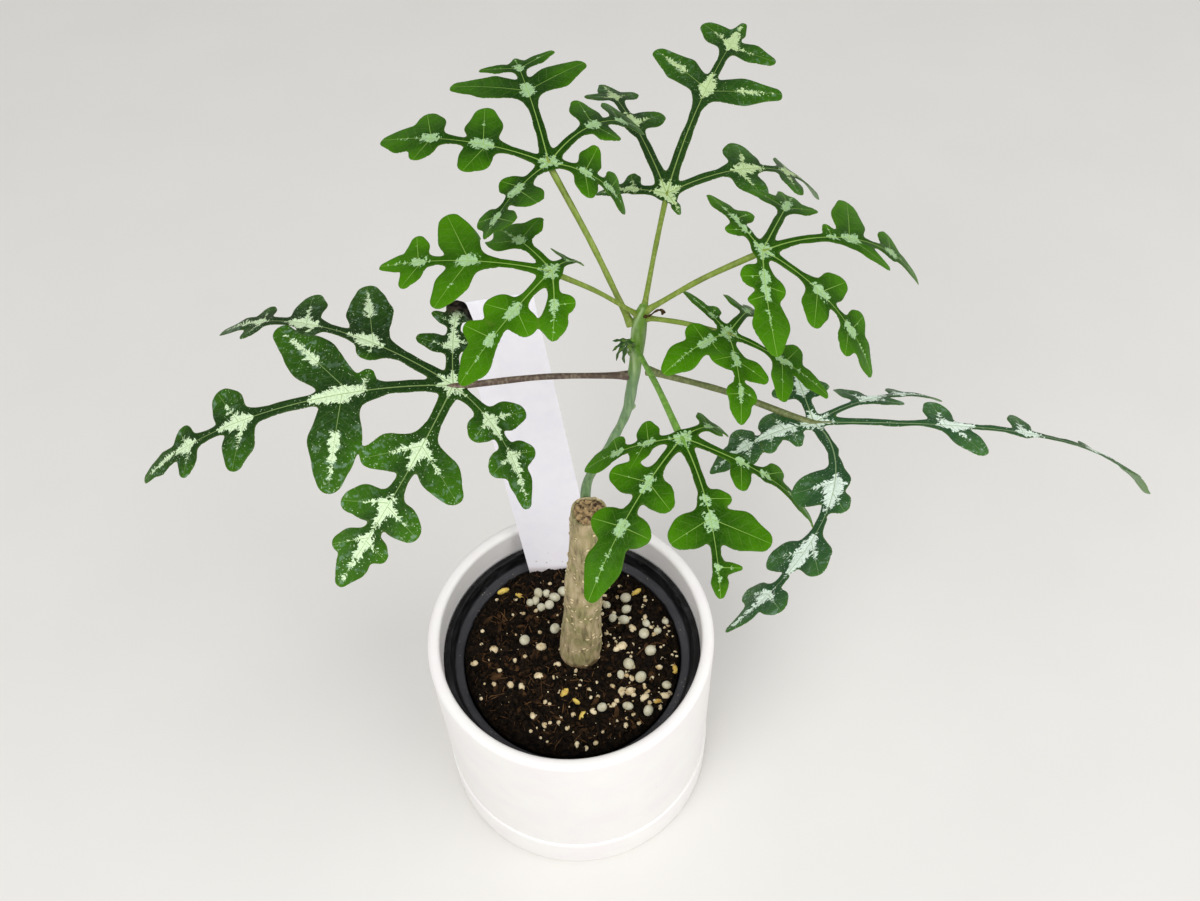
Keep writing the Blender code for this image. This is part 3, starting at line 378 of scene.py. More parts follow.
def soil_height(place):
    """Height of the mix: broad humps, a mound at the trunk, a fall at the wall, crumbs of three sizes."""
    mound = 1.4 * np.exp(-((place - np.array(TRUNK_FOOT)) ** 2).sum(-1) / 150)
    edge = np.clip((np.linalg.norm(place, axis=-1) - soil_brim) / EDGE_FALL + 1, 0, 1)
    crumbs = 0.45 * lumps(place, 2.4, 2) + 0.3 * np.abs(lumps(place, 1.1, 3)) + 0.14 * lumps(place, 0.5, 4)
    return SOIL_TOP - 0.3 + 0.7 * lumps(place, 9, 1) + mound + crumbs - EDGE_DROP * edge ** 2


def earth(name, dark, warm, size):
    """Damp peat or bark: dark, warmer on its crumbs, matt, with a grain."""
    made, shader, place = finish(name, EARTH_SHEEN)
    mottle = place.noise(size, 6)
    grain = place.read("tint")
    shade = (mottle.step(0.35, 0.8) * 0.6 + grain * 0.5).math("MINIMUM", 1.0)
    shade.blend(dark, warm).feed(shader, "Base Color")
    (0.95 - mottle * 0.25).feed(shader, "Roughness")
    place.noise(0.35, 3).bump(0.22, mottle.bump(0.5)).feed(shader, "Normal")
    return made


def ball(splits):
    """Points and triangles of a ball of radius one, split from an icosahedron."""
    shape = bmesh.new()
    bmesh.ops.create_icosphere(shape, subdivisions=splits, radius=1)
    points = np.array([v.co[:] for v in shape.verts])
    faces = np.array([[v.index for v in f.verts] for f in shape.faces])
    shape.free()
    return points, faces


def add_numbers(made, name, numbers, domain="POINT"):
    """Keep one number for each point, or for each corner of a face, under a name that materials read."""
    kept = made.data.attributes.new(name, "FLOAT", domain)
    kept.data.foreach_set("value", np.ravel(numbers).astype(np.float32))


def grains(name, places, range_of_sizes, stretch, splits, rough, material, seed, sunk=0.35, skew=1.0):
    """Many grains in one piece: a ball copied to each place, stretched, turned and dented at random.

    Each grain's three half sizes are its size times the numbers of stretch, each up to a fifth off.
    A skew above one makes most of them small.
    """
    places = np.array(places, float)
    count = len(places)
    sizes = mix_draw.uniform(*range_of_sizes, count) ** skew
    draw = np.random.default_rng(seed)
    points, faces = ball(splits)
    shapes = points[None] * (1 + rough * draw.uniform(-1, 1, (count, len(points), 1)))
    shapes = shapes * (sizes[:, None] * draw.uniform(0.8, 1.2, (count, 3)) * stretch)[:, None]
    way = unit(draw.normal(size=(count, 3)) * (1, 1, 0.35))
    over = unit(np.cross(way, draw.normal(size=(count, 3))))
    turn = np.stack((way, over, np.cross(way, over)), 1)
    lift = (1 - 2 * sunk) * sizes * min(stretch)
    centres = np.column_stack((places, soil_height(places) + lift))
    shapes = shapes @ turn + centres[:, None]
    corners = faces[None] + (np.arange(count) * len(points))[:, None, None]
    made = smoothed(piece(name, shapes.reshape(-1, 3), corners.reshape(-1, 3), [material]), 50)
    add_numbers(made, "tint", np.repeat(draw.random(count), len(points)))
    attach(made, "root")
    return made


def strewn(count, seed, margin=0.8, lean=0.0):
    """Random places on the mix, clear of the trunk and of the label, denser to the right as lean grows."""
    draw = np.random.default_rng(seed)
    reach = (soil_brim - margin) * np.sqrt(draw.random(4 * count))
    angle = 2 * math.pi * draw.random(4 * count)
    places = np.column_stack((reach * np.cos(angle), reach * np.sin(angle)))
    clear = np.linalg.norm(places - np.array(TRUNK_FOOT), axis=1) > TRUNK_FOOT_RADIUS + 0.4
    clear &= (np.abs(places - np.array(LABEL_SLOT)) > (13.5, 1.2)).any(1)
    clear &= draw.random(len(places)) < 0.5 * (1 + lean * places[:, 0] / soil_brim)
    return places[clear][:count]


soil_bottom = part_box("soil")[0][2] / MM
soil_brim = NURSERY_NECK - NURSERY_WALL - SOIL_PLAY
soil_foot = NURSERY_FOOT - NURSERY_WALL - 0.3
top_share = np.linspace(1, 0, SOIL_RINGS)[:-1]
soil_radius = np.concatenate((
    (0.0, soil_foot - 1.4), np.linspace(soil_foot, soil_brim, SOIL_SIDE_RINGS), soil_brim * top_share))
soil_side = np.linspace(soil_bottom + 1.6, SOIL_TOP - 2.5, SOIL_SIDE_RINGS)
soil_rise = np.concatenate(((soil_bottom, soil_bottom), soil_side, 0 * top_share))
spokes = circle(SOIL_SPOKES)
soil_grid = np.stack((soil_radius[:, None] * np.cos(spokes), soil_radius[:, None] * np.sin(spokes)), -1)
soil_z = np.repeat(soil_rise[:, None], SOIL_SPOKES, 1)
soil_z[-len(top_share):] = soil_height(soil_grid[-len(top_share):])
soil_middles = ((0, 0, soil_bottom), (0, 0, float(soil_height(np.zeros(2)))))
soil_points = np.vstack((np.dstack((soil_grid, soil_z))[1:].reshape(-1, 3), soil_middles))


def ring_faces(rings, sides):
    """Quads between neighbouring rings of points, and fans from each end ring to a middle point."""
    along = np.arange(sides)
    beside = (along + 1) % sides
    middle, last = rings * sides, (rings - 1) * sides
    first_fan = np.stack((beside, along, 0 * along + middle), -1)
    last_fan = np.stack((last + along, last + beside, 0 * along + middle + 1), -1)
    return grid_faces(rings, sides).tolist() + first_fan.tolist() + last_fan.tolist()


peat = earth("damp_peat", (5, 4, 3), (46, 34, 22), 1.5)
mix_faces = ring_faces(len(soil_radius) - 1, SOIL_SPOKES)
mix_piece = outwards(piece("potting_mix", soil_points, mix_faces, [peat]), 80)
add_numbers(mix_piece, "tint", np.full(len(soil_points), 0.1))
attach(mix_piece, "root")
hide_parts("soil")


def mineral(name, pale, stained, roughness):
    """Perlite, bead coating or husk: pale, stained here and there by the peat, faintly pitted."""
    made, shader, place = finish(name)
    stain = place.noise(2.2, 4)
    grain = place.read("tint")
    shade = (stain.step(0.42, 0.72) * 0.75 + grain * 0.3).math("MINIMUM", 1.0)
    shade.blend(pale, stained).feed(shader, "Base Color")
    (roughness + stain * 0.2).feed(shader, "Roughness")
    place.noise(0.5, 4).bump(0.12).feed(shader, "Normal")
    return made


mix_draw = np.random.default_rng(11)
grains("peat_crumbs", strewn(2400, 21), (0.3, 0.95), (1.3, 1, 0.8), 1, 0.3, peat, 31)
grains("bark_shreds", strewn(230, 22, margin=2.5), (0.5, 1.4), (1.6, 0.8, 0.4), 2, 0.2,
       earth("shredded_bark", (14, 10, 7), (84, 60, 38), 2.5), 32)
grains("bark_fibres", strewn(300, 23, margin=3, lean=-0.9), (0.7, 1.6), (2.2, 0.15, 0.13), 1, 0.2,
       earth("bark_fibre", (50, 34, 22), (116, 84, 54), 2), 33, sunk=0.0)
perlite = mineral("perlite", (226, 210, 174), (166, 138, 88), 0.75)
grains("perlite_crumbs", strewn(300, 24, lean=0.7), (0.25, 0.95), (1.1, 1, 0.9), 2, 0.16, perlite, 34,
       sunk=0.3, skew=1.4)
grains("perlite_lumps", PERLITE_LUMPS, (0.9, 1.7), (1.15, 0.95, 0.85), 3, 0.09, perlite, 35)
grains("husks", HUSKS, (1.1, 1.9), (1.4, 0.9, 0.7), 3, 0.05,
       mineral("husk", (222, 196, 96), (170, 118, 52), 0.6), 36)
grains("fertiliser_beads", BEADS, (1.4, 1.95), (1, 1, 1), 4, 0.006,
       mineral("bead_coat", (206, 203, 180), (174, 164, 130), 0.45), 37, sunk=0.2)

# The trunk is a rooted length of old woody stem, sawn off level and left to dry at the top.
# Its grey-tan bark is thin and smooth, with shallow furrows and rows of small corky pores.
# Each row of a route is a place and the radius there.
TRUNK_ROUTE = ((1.9, 1.0, 44, 6.6), (*TRUNK_FOOT, 78, TRUNK_FOOT_RADIUS), (4.4, 0.2, 104, 6.5),
               (6.4, -0.4, 136, 5.9), (8.9, -1.4, 176, 5.3))
TRUNK_MEAN_RADIUS = 6  # where the pores are laid out before the bark is wrapped round its path
TRUNK_ROWS = 300
TRUNK_SIDES = 150
CUT_ROWS = 36          # rings of points on the sawn end
SIDEWAYS = (1.0, 0.0, 0.0)       # what the rings of a rising stem are squared up to
PORE_COUNT = 170
PORE_RISE = 0.45       # how far a pore stands out


def smooth_route(rows, count):
    """Places and radii spaced evenly along a Catmull-Rom curve through rows of a place and a radius."""
    rows = np.array(rows, float)
    ends = np.vstack((2 * rows[0] - rows[1], rows, 2 * rows[-1] - rows[-2]))
    share = np.linspace(0, len(rows) - 1, count)
    first = np.minimum(share.astype(int), len(rows) - 2)
    t = (share - first)[:, None]
    a, b, c, d = (ends[first + k] for k in range(4))
    bend, twist = 2 * a - 5 * b + 4 * c - d, 3 * b - a - 3 * c + d
    rows = 0.5 * (2 * b + (c - a) * t + bend * t ** 2 + twist * t ** 3)
    return rows[:, :3], rows[:, 3:]


def rings(path, radius, reference):
    """Rings of points about a path: path + radius (side cos a + other sin a), both across the path."""
    along = unit(np.gradient(path, axis=0))
    side = unit(np.cross(along, reference))
    other = np.cross(along, side)
    angles = circle(radius.shape[1])[None, :, None]
    around = np.cos(angles) * side[:, None] + np.sin(angles) * other[:, None]
    return path[:, None] + radius[:, :, None] * around


def closed_tube(name, points, material):
    """A tube closed at both ends from its rings of points."""
    middles = points[[0, -1]].mean(1)
    everything = np.vstack((points.reshape(-1, 3), middles))
    return outwards(piece(name, everything, ring_faces(*points.shape[:2]), [material]), 60)


def bark():
    """Thin bark: grey-tan, faintly green, finely furrowed along the stem, paler on each raised pore.

    Its furrows are darker, partly in the bark's own tone and partly as painted shade.
    Damp potting mix stains its foot. The sawn end is brown and fibrous inside a paler ring of bark.
    """
    made, shader, place = finish("thin_bark")
    pore = place.read("pore")
    cut = place.read("cut")
    height = place.height()
    upright = place.stretched(1, 1, 0.22)
    furrow = upright.noise(1.5, 6)
    mottle = place.noise(5, 5)
    wood = place.stretched(1, 1, 0.1).noise(1.3, 6)
    skin = mottle.step(0.36, 0.66).blend((156, 144, 100), (182, 162, 126))
    skin = (place.noise(7, 3).step(0.46, 0.64) * 0.6).blend(skin, (132, 130, 82))
    skin = (furrow.step(0.5, 0.68) * 0.5).blend(skin, (202, 184, 148))
    # Darker grooves along the furrows: partly the bark's own tone, partly painted shade.
    skin = ((1 - furrow.step(0.32, 0.48)) * 0.7).blend(skin, (92, 82, 54))
    skin = (pore.step(0.02, 0.2) * 0.4).blend(skin, (96, 84, 56))
    skin = (pore.step(0.3, 0.6) * 0.95).blend(skin, (226, 206, 160))
    foot = 1 - (height + (mottle - 0.5) * 5).step(SOIL_TOP + 1.2, SOIL_TOP + 4)
    skin = (foot * 0.8).blend(skin, (88, 62, 36))
    core = wood.step(0.36, 0.6).blend((72, 52, 32), (178, 150, 108))
    cut.step(0.35, 0.6).blend(skin, core).feed(shader, "Base Color")
    (0.85 - furrow * 0.2).feed(shader, "Roughness")
    (wood * cut * 2).bump(0.6, (furrow + place.noise(0.4, 3) * 0.4).bump(0.45)).feed(shader, "Normal")
    return made


trunk_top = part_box("trunk")[1][2] / MM
trunk_path, trunk_radius = smooth_route(TRUNK_ROUTE, TRUNK_ROWS)
trunk_angles = circle(TRUNK_SIDES)
trunk_skin = np.stack(np.broadcast_arrays(
    TRUNK_MEAN_RADIUS * np.cos(trunk_angles), TRUNK_MEAN_RADIUS * np.sin(trunk_angles),
    trunk_path[:, 2:]), -1)
trunk_draw = np.random.default_rng(3)
pore_angle = trunk_draw.uniform(0, 2 * math.pi, PORE_COUNT)
pore_height = trunk_draw.uniform(SOIL_TOP, trunk_top - 2, PORE_COUNT)
pore_size = trunk_draw.uniform(0.4, 0.8, PORE_COUNT)
pore_middles = np.stack((
    TRUNK_MEAN_RADIUS * np.cos(pore_angle), TRUNK_MEAN_RADIUS * np.sin(pore_angle), pore_height), -1)
pore_gap = ((trunk_skin[:, :, None] - pore_middles) * (1, 1, 1.25)) ** 2
pores = np.exp(-pore_gap.sum(-1) / pore_size ** 2).max(-1)
trunk_furrows = 0.2 * lumps(trunk_skin * (1, 1, 0.16), 1.6, 5) + 0.3 * lumps(trunk_skin * (1, 1, 0.5), 5, 6)
trunk_buried = np.clip((trunk_path[:, 2:] - SOIL_TOP + 4) / 6, 0, 1)
trunk_radius = trunk_radius + trunk_buried * (trunk_furrows + PORE_RISE * pores)
trunk_points = rings(trunk_path, trunk_radius, SIDEWAYS)
trunk_points[:, :, 2] = np.minimum(trunk_points[:, :, 2], trunk_top - 0.25 + 0.12 * lumps(trunk_skin, 3, 7))
cut_share = np.linspace(0.985, 0.02, CUT_ROWS)[:, None, None]
cut_middle = trunk_points[-1].mean(0)
cut_points = cut_middle + (trunk_points[-1] - cut_middle) * cut_share
cut_grain = lumps(cut_points[:, :, :2], 1.4, 8) + 0.6 * lumps(cut_points[:, :, :2], 0.7, 9)
cut_points[:, :, 2] += (-0.6 + 0.4 * cut_grain) * (1 - cut_share[:, :, 0] ** 9)
trunk_points = np.concatenate((trunk_points, cut_points))
trunk_piece = closed_tube("woody_trunk", trunk_points, bark())
add_numbers(trunk_piece, "pore", np.concatenate((pores.ravel(), np.zeros(CUT_ROWS * TRUNK_SIDES + 2))))
cut_wood = np.repeat(np.clip((0.93 - cut_share) / 0.08, 0, 1), TRUNK_SIDES)
add_numbers(trunk_piece, "cut", np.concatenate((np.zeros(pores.size), cut_wood, (0, 1))))
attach(trunk_piece, "root")
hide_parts("trunk")

# The shoot is this year's growth, which broke from the side of the trunk just under the cut.
# It is a smooth stem under blue-grey wax, greener above, finely ribbed, thicker where the leaves join it.
# Near its top are a side bud of five small leaves and the dried, curled stub of a lost one.
SHOOT_ROUTE = ((7.6, -1.0, 164.5, 2.0), (7.6, 4.6, 168, 1.6), (8.8, 8.0, 177, 1.4), (14.8, 8.4, 192, 1.3),
               (20.2, 8.2, 209, 1.3), (22.2, 8.0, 224, 1.6), (23.4, 8.0, 238, 1.8), (24.1, 8.0, 249, 2.0),
               (25.0, 8.5, 253.9, 1.0))
SHOOT_ROWS = 260
SHOOT_SIDES = 40
SHOOT_RIBS = 7
RIDGE_FROM = 226       # height from which a pale ridge runs up the front of the shoot
SCAR_HEIGHT = 213      # of the scar that a dropped leaf left on the right
BUD_ROUTE = ((23.6, 8.0, 243.0, 0.9), (23.0, 7.4, 243.0, 1.0), (22.4, 6.9, 243.0, 0.9),
             (21.7, 6.3, 243.0, 0.5))
BUD_SIDES = 16
BUD_ROWS = 16
BUD_LEAF_ROWS = 40
BUD_PLACE = (21.9, 6.5, 243.0)   # where its leaves spring from
# Each small leaf's heading, its length, and how far it dips.
BUD_LEAVES = ((170, 5.0, 10), (190, 5.8, 30), (207, 7.0, 50), (230, 7.0, 65), (258, 4.2, 20))
BUD_LEAF_HALF = 0.6    # half its width
STUB_ROUTE = ((24.8, 7.2, 251.4, 0.45), (26.2, 5.6, 253.4, 0.26), (28.2, 5.0, 256.0, 0.22),
              (29.3, 4.4, 256.8, 0.34), (29.7, 4.2, 256.2, 0.5), (29.4, 4.2, 255.4, 0.2))
STUB_SIDES = 12
STUB_ROWS = 60
UPRIGHT = (0.0, 0.0, 1.0)        # what the rings of a level stem are squared up to


def stem(name, low, high, wax, waxed):
    """Green stem skin: colour from a lower to a higher one, streaked along and ridged with pale wax."""
    made, shader, place = finish(name)
    height = place.height()
    ridge = place.read("ridge")
    streak = place.stretched(1, 1, 0.12).noise(0.9, 5)
    blotch = place.noise(3.5, 3)
    green = (height + (blotch - 0.5) * 14).step(222, 238).blend(low, high)
    green = (streak.step(0.42, 0.68) * waxed).blend(green, wax)
    green = ((1 - blotch.step(0.3, 0.5)) * 0.4).blend(green, [0.7 * part for part in high])
    (ridge * 0.8).blend(green, wax).feed(shader, "Base Color")
    (0.42 + blotch * 0.2).feed(shader, "Roughness")
    streak.bump(0.12).feed(shader, "Normal")
    return made


shoot_path, shoot_radius = smooth_route(SHOOT_ROUTE, SHOOT_ROWS)
shoot_angles = circle(SHOOT_SIDES)
shoot_height = shoot_path[:, 2:]
ridge_line = np.exp(-((shoot_angles - 2.6 - 0.5 * np.sin(shoot_height / 5)) / 0.28) ** 2)
ridge_line = ridge_line * np.clip((shoot_height - RIDGE_FROM) / 5, 0, 1)
scar = np.exp(-((shoot_height - SCAR_HEIGHT) / 1.1) ** 2 - ((shoot_angles - 1.5 * math.pi) / 0.5) ** 2)
shoot_relief = 0.05 * np.cos(SHOOT_RIBS * shoot_angles) + 0.07 * lumps(shoot_path, 4, 12)[:, None]
shoot_relief = shoot_relief + 0.2 * ridge_line + 0.8 * scar
shoot_points = rings(shoot_path, shoot_radius + shoot_relief, SIDEWAYS)
stem_skin = stem("waxed_stem", (98, 130, 88), (92, 132, 34), (160, 184, 130), 0.35)
shoot_piece = closed_tube("green_shoot", shoot_points, stem_skin)
add_numbers(shoot_piece, "ridge", np.append((ridge_line + scar).ravel(), (0, 0)))
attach(shoot_piece, "root")
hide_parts("shoot")
bud_path, bud_radius = smooth_route(BUD_ROUTE, BUD_ROWS)
bud_points = rings(bud_path, np.repeat(bud_radius, BUD_SIDES, 1), SIDEWAYS)
bud_piece = closed_tube("side_bud", bud_points, stem_skin)
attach(bud_piece, "root")


def bud_blade(name, heading, length, dip, material):
    """A small narrow leaf of the bud: a flat tube on a path that dips, its width waved by its lobes."""
    way, drop = math.radians(heading), math.radians(dip)
    out, across = np.array((*pointing(way), 0)), np.array((-math.sin(way), math.cos(way), 0))
    share = np.linspace(0, 1, BUD_LEAF_ROWS)[:, None]
    heads = np.cos(drop * share) * out + np.sin(drop * share) * (0, 0, -1)
    path = np.array(BUD_PLACE) + length * share * heads
    half = BUD_LEAF_HALF * np.sin(math.pi * (0.08 + 0.9 * share)) ** 0.6 * (1 + 0.3 * np.sin(17 * share))
    angles = circle(BUD_SIDES)
    thin = 0.22 - 0.1 * share
    flat = 1 / np.sqrt((np.sin(angles) / half) ** 2 + (np.cos(angles) / thin) ** 2)
    made = closed_tube(name, rings(path, flat, across), material)
    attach(made, "root")


young_leaf = stem("young_leaf", (30, 58, 14), (36, 72, 18), (128, 156, 56), 0.5)
for bud_number, bud_values in enumerate(BUD_LEAVES):
    bud_blade(f"bud_leaf_{bud_number}", *bud_values, young_leaf)
stub_path, stub_radius = smooth_route(STUB_ROUTE, STUB_ROWS)
stub_radius = np.repeat(stub_radius, STUB_SIDES, 1)
stub_radius = stub_radius * (1 + 0.35 * lumps(rings(stub_path, stub_radius, UPRIGHT), 0.9, 14))
stub_piece = closed_tube("dried_stub", rings(stub_path, stub_radius, (0.0, 0.3, 1.0)),
                         earth("dried_leaf", (38, 28, 16), (104, 82, 48), 1.0))
add_numbers(stub_piece, "tint", np.full(len(stub_piece.data.vertices), 0.3))
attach(stub_piece, "root")

# Each leaf is a palm of five lobes cut again into round lobules, thin, satin, and stiffened by sunk ribs.
# The young ones are a fresh green, the old ones dark and finely speckled, and all carry torn silver
# patches where the ribs fork. A round stalk holds the blade out from the shoot and runs on as its ribs.
Lobe = namedtuple("Lobe", "turn length rise droop swing twist end_half lobules")
# A leaf: where its stalk leaves the shoot, where its blade starts, the heading, pitch and bank of its
# middle lobe, its stalk's thickness, half the width of its necks, and its lobes. A lobe: turn from the
# middle one, length, rise at the base, droop to the tip, swing sideways, twist, half width of its end,
# and its lobules. A lobule: place along the midrib, angle to it, length and half width.
# A least squares fit to points picked in the photograph gave the blades' starts and aims and
# nearly all that a lobe has before its end's width, rounded. Of the lobules, a quarter still stand where
# the fit put them. The other lobules and all widths were set one by one.
LEAVES = {
    "leaf_a": dict(root=(21.9, 8, 247.4), base=(3, 30, 283), aim=(107, 1, 1), stalk=1.6, neck=1.5, lobes=(
        (-7, 44, 5, 18, 3, -4, 1.9, (
            (27, 58, 22, 4.9), (27, -62, 19, 4.9), (38, 66, 11, 2.4), (38, -61, 12, 2.5))),
        (53, 46, 10, 35, 0, -2, 5.0, (
            (17, -70, 14, 4.8), (16, 74, 10, 4.4), (31, -60, 11, 4.4), (31, 74, 8, 3.6))),
        (-49, 44, 8, 64, -19, 11, 3.6, (
            (19, 57, 12, 4.2), (19, -76, 8, 3.4), (31, 61, 10, 3.8))),
        (121, 27, 8, 26, 15, 47, 3.2, (
            (11, -95, 7, 3.3), (12, 70, 10, 4.0), (21, -80, 8, 3.1), (21.5, 78, 9, 3.0))),
        (-116, 26, 0, 77, 3, -5, 3.6, (
            (9, 76, 11, 3.2), (9, -74, 8, 3.2), (17, 66, 8, 3.2))))),
    "leaf_b": dict(root=(25.1, 8.6, 252.6), base=(33, 45, 257), aim=(64, 0, 2), stalk=1.4, neck=1.7, lobes=(
        (9, 69, 11, 14, -11, 2, 2.4, (
            (38, 60, 22, 4.8), (37, -67, 22, 5.2), (58, 62, 12, 4.2), (57, -88, 14, 3.9))),
        (40, 56, 7, 30, 5, 13, 3.2, (
            (28, -67, 11, 4.6), (44, -67, 8.4, 3.4), (44, 71, 9, 3.2))),
        (-41, 63, 12, 77, 8, -5, 3.8, (
            (24, 62, 14, 5.4), (22, -84, 12, 4.6), (41, 50, 14, 3.4), (40, -110, 12, 3.8))),
        (98, 21, 0, 36, -4, 8, 2.6, ((9, -64, 8, 2.5),)),
        (-126, 8, 8, 24, -11, 0, 1.2, ()))),
    "leaf_c": dict(root=(23.4, 8, 251.2), base=(3, 2, 275), aim=(170, -1, 1), stalk=1.3, neck=1.5, lobes=(
        (-2, 44, 8, 30, 0, -8, 2.6, (
            (20, -58, 18, 5.2), (20, 67, 15, 4.6), (33, -73, 9, 3.1), (32, 60, 8.5, 2.9))),
        (-50, 27, 0, 29, 6, -8, 4.2, ((15, -63, 10, 3.4), (15, 38, 9, 3.6))),
        (59, 35, -3, 32, -4, 6, 4.6, (
            (14, -75, 8, 3.9), (13, 62, 8.4, 3.4), (22, -83, 9, 3.0))),
        (106, 19, 1, 28, -14, 1, 3.4, ((10, 95, 5, 2.7),)),
        (-116, 15, -7, 56, -5, -1, 1.2, ((7, 62, 9, 1.4),)))),
    "leaf_d": dict(root=(25.4, 8.1, 252.2), base=(53, 6, 275), aim=(17, -13, 2), stalk=1.5, neck=1.4, lobes=(
        (8, 59, 11, 61, -16, 5, 3.2, (
            (25.5, 61, 17, 5.0), (20, 85, 4.6, 1.8), (25, -33, 14, 2.9), (41.5, 64, 9, 4.1))),
        (48, 31, 2, 26, 0, -3, 2.4, ((21, 66, 11, 3.2), (21, -46, 10, 3.1), (24, 23, 9, 2.1))),
        (-49, 43, 2, 58, 2, -3, 4.0, (
            (17, 68, 11, 4.0), (16, -66, 11, 4.0), (29, 80, 8, 3.4), (28, -66, 8, 3.3))),
        (-112, 29, 0, 25, 20, -4, 4.7, ((8, -80, 6, 3.2), (11, 75, 5.2, 3.2), (13.5, -68, 5, 1.7))),
        (107, 22, 7, 21, -5, 19, 3.2, ((7, 75, 5.5, 2.0), (11, -81, 7, 2.7))))),
    "leaf_e": dict(root=(25.6, 8, 249.8), base=(45, -4, 257), aim=(-16, -17, -12), stalk=1.4, neck=1.3,
                   lobes=(
        (-1, 31, 1, 28, 0, 5, 3.2, ((16, 68, 9, 3.2), (15, -78, 13, 3.6))),
        (-70, 27, 6, 31, -4, -13, 3.0, (
            (8, -66, 7, 3.2), (9.5, 62, 9.5, 3.3), (19, -74, 4, 2.4), (18, 71, 5, 2.4))),
        (73, 27, 6, 49, -2, 2, 2.5, ((14, 72, 8, 2.7), (15, -40, 8, 2.3))),
        (-134, 21, 2, 42, 12, 3, 4.3, ((7.5, -100, 6.5, 3.4), (6, 80, 5.5, 3.4))),
        (133, 19, -2, 16, -2, 4, 2.0, ((7, -50, 5, 1.9),)))),
    "leaf_f": dict(root=(20.9, 8, 226.8), base=(-25, 2, 233), aim=(204, 17, -11), stalk=1.7, neck=2.0,
                   lobes=(
        (-9, 96, 5, 76, -6, -4, 3.2, (
            (27, -57, 31, 6.9), (29, 74, 27, 7.1), (24, -115, 7, 2.6), (57, -62, 13, 4.9),
            (55, 66, 14, 4.9), (74, -62, 7, 3.6), (73, 64, 9, 3.6))),
        (-48, 82, 5, 69, -4, -1, 3.2, (
            (24, -55, 25, 6.4), (24, 100, 6, 3.4), (45, -62, 14, 5.0), (42, 80, 6, 3.2),
            (61, -63, 8, 3.2), (61, 58, 8, 3.2))),
        (49, 61, -1, 35, -10, 2, 4.0, (
            (20, -50, 16, 5.2), (20, 58, 17.5, 5.5), (37, -64, 12, 4.5), (38, 72, 11, 4.4),
            (47, -50, 9, 3.3), (48, 75, 7, 3.0))),
        (-106, 30, 4, 15, -16, 2, 3.0, (
            (12, 82, 10, 3.2), (14, -80, 7, 3.0), (20, 68, 7, 2.2), (22, -45, 7, 2.2))),
        (120, 39, 6, 44, -25, -6, 3.6, (
            (13, 72, 12, 4.2), (13, -72, 8, 3.7), (24, 76, 8, 3.5), (24, -73, 8, 3.6))))),
    "leaf_g": dict(root=(26.2, 8, 228.4), base=(67, -16, 235), aim=(-8, 18, -16), stalk=1.8, neck=1.4,
                   lobes=(
        (1, 118, -8, 56, 56, 6, 2.8, (
            (33, 95, 11, 4.0), (34, -62, 13, 4.2), (55, 70, 11, 3.2), (80, 60, 7, 2.4),
            (85, -52, 12, 3.6))),
        (44, 45, -3, 43, 0, -8, 2.8, ((17, 95, 11, 3.2), (18, -50, 9, 3.0), (28, 60, 8, 2.5))),
        (107, 31, 9, 4, -1, 1, 3.2, ((12, -85, 7, 3.2), (13, 75, 8, 3.2), (21, 60, 6, 2.5))),
        (-57, 75, 8, 29, -98, 22, 3.4, (
            (27.5, -85, 11, 6.0), (31, 32, 8, 2.9), (49, -68, 11, 4.4), (46, 42, 12, 4.2),
            (62, -70, 10, 3.4), (62, 80, 9, 3.6))),
        (-154, 30, 17, 43, 2, 7, 4.6, (
            (8, -85, 9.5, 5.0), (6, 80, 9, 2.3), (11.5, 70, 8, 2.3), (18, -85, 9.5, 3.4),
            (18, 75, 8.5, 3.2))))),
    "leaf_h": dict(root=(22.9, 7, 239.6), base=(32, -32, 253), aim=(-74, 6, -1), stalk=1.6, neck=1.4, lobes=(
        (2, 41, -1, 27, -19, -4, 2.0, (
            (22.5, -66, 11, 4.5), (22.5, 58, 15, 4.8), (17.5, 80, 6, 2.4), (34, 85, 5.5, 1.3))),
        (-55, 45, -4, 43, 6, 2, 4.7, (
            (14, -78, 10, 4.1), (14, 67, 9, 3.6), (26, -80, 8, 3.9), (26, 92, 7.5, 3.7))),
        (-109, 26, -5, 39, 4, 13, 4.0, ((8, -85, 8, 2.8), (9, 66, 6, 2.6), (16, -76, 6, 2.8))),
        (53, 49, -8, 70, 28, -3, 2.4, ((15, -80, 8, 3.0), (22, 40, 9, 2.6))),
        (114, 19, 1, 71, -6, 4, 2.2, ((9, 61, 7, 2.2), (9, -62, 4, 2.0))))),
}
for leaf_values in LEAVES.values():
    leaf_values["lobes"] = [Lobe(*values) for values in leaf_values["lobes"]]
# How bright and yellow each lobe of a leaf is, from nought, the oldest green, to one.
FRESHNESS = {
    "leaf_a": (0.25, 0.4, 0.3, 0.35, 0.55), "leaf_b": (0.35, 0.3, 0.45, 0.3, 0.3),
    "leaf_c": (0.8, 0.7, 0.9, 0.8, 0.5), "leaf_d": (0.6, 0.45, 0.6, 0.7, 0.5),
    "leaf_e": (0.7, 0.8, 0.6, 0.8, 0.6), "leaf_f": (0.25, 0.1, 0.55, 0.05, 0.6),
    "leaf_g": (0.4, 0.3, 0.3, 0.3, 0.4), "leaf_h": (0.5, 0.55, 0.7, 0.55, 0.65),
}
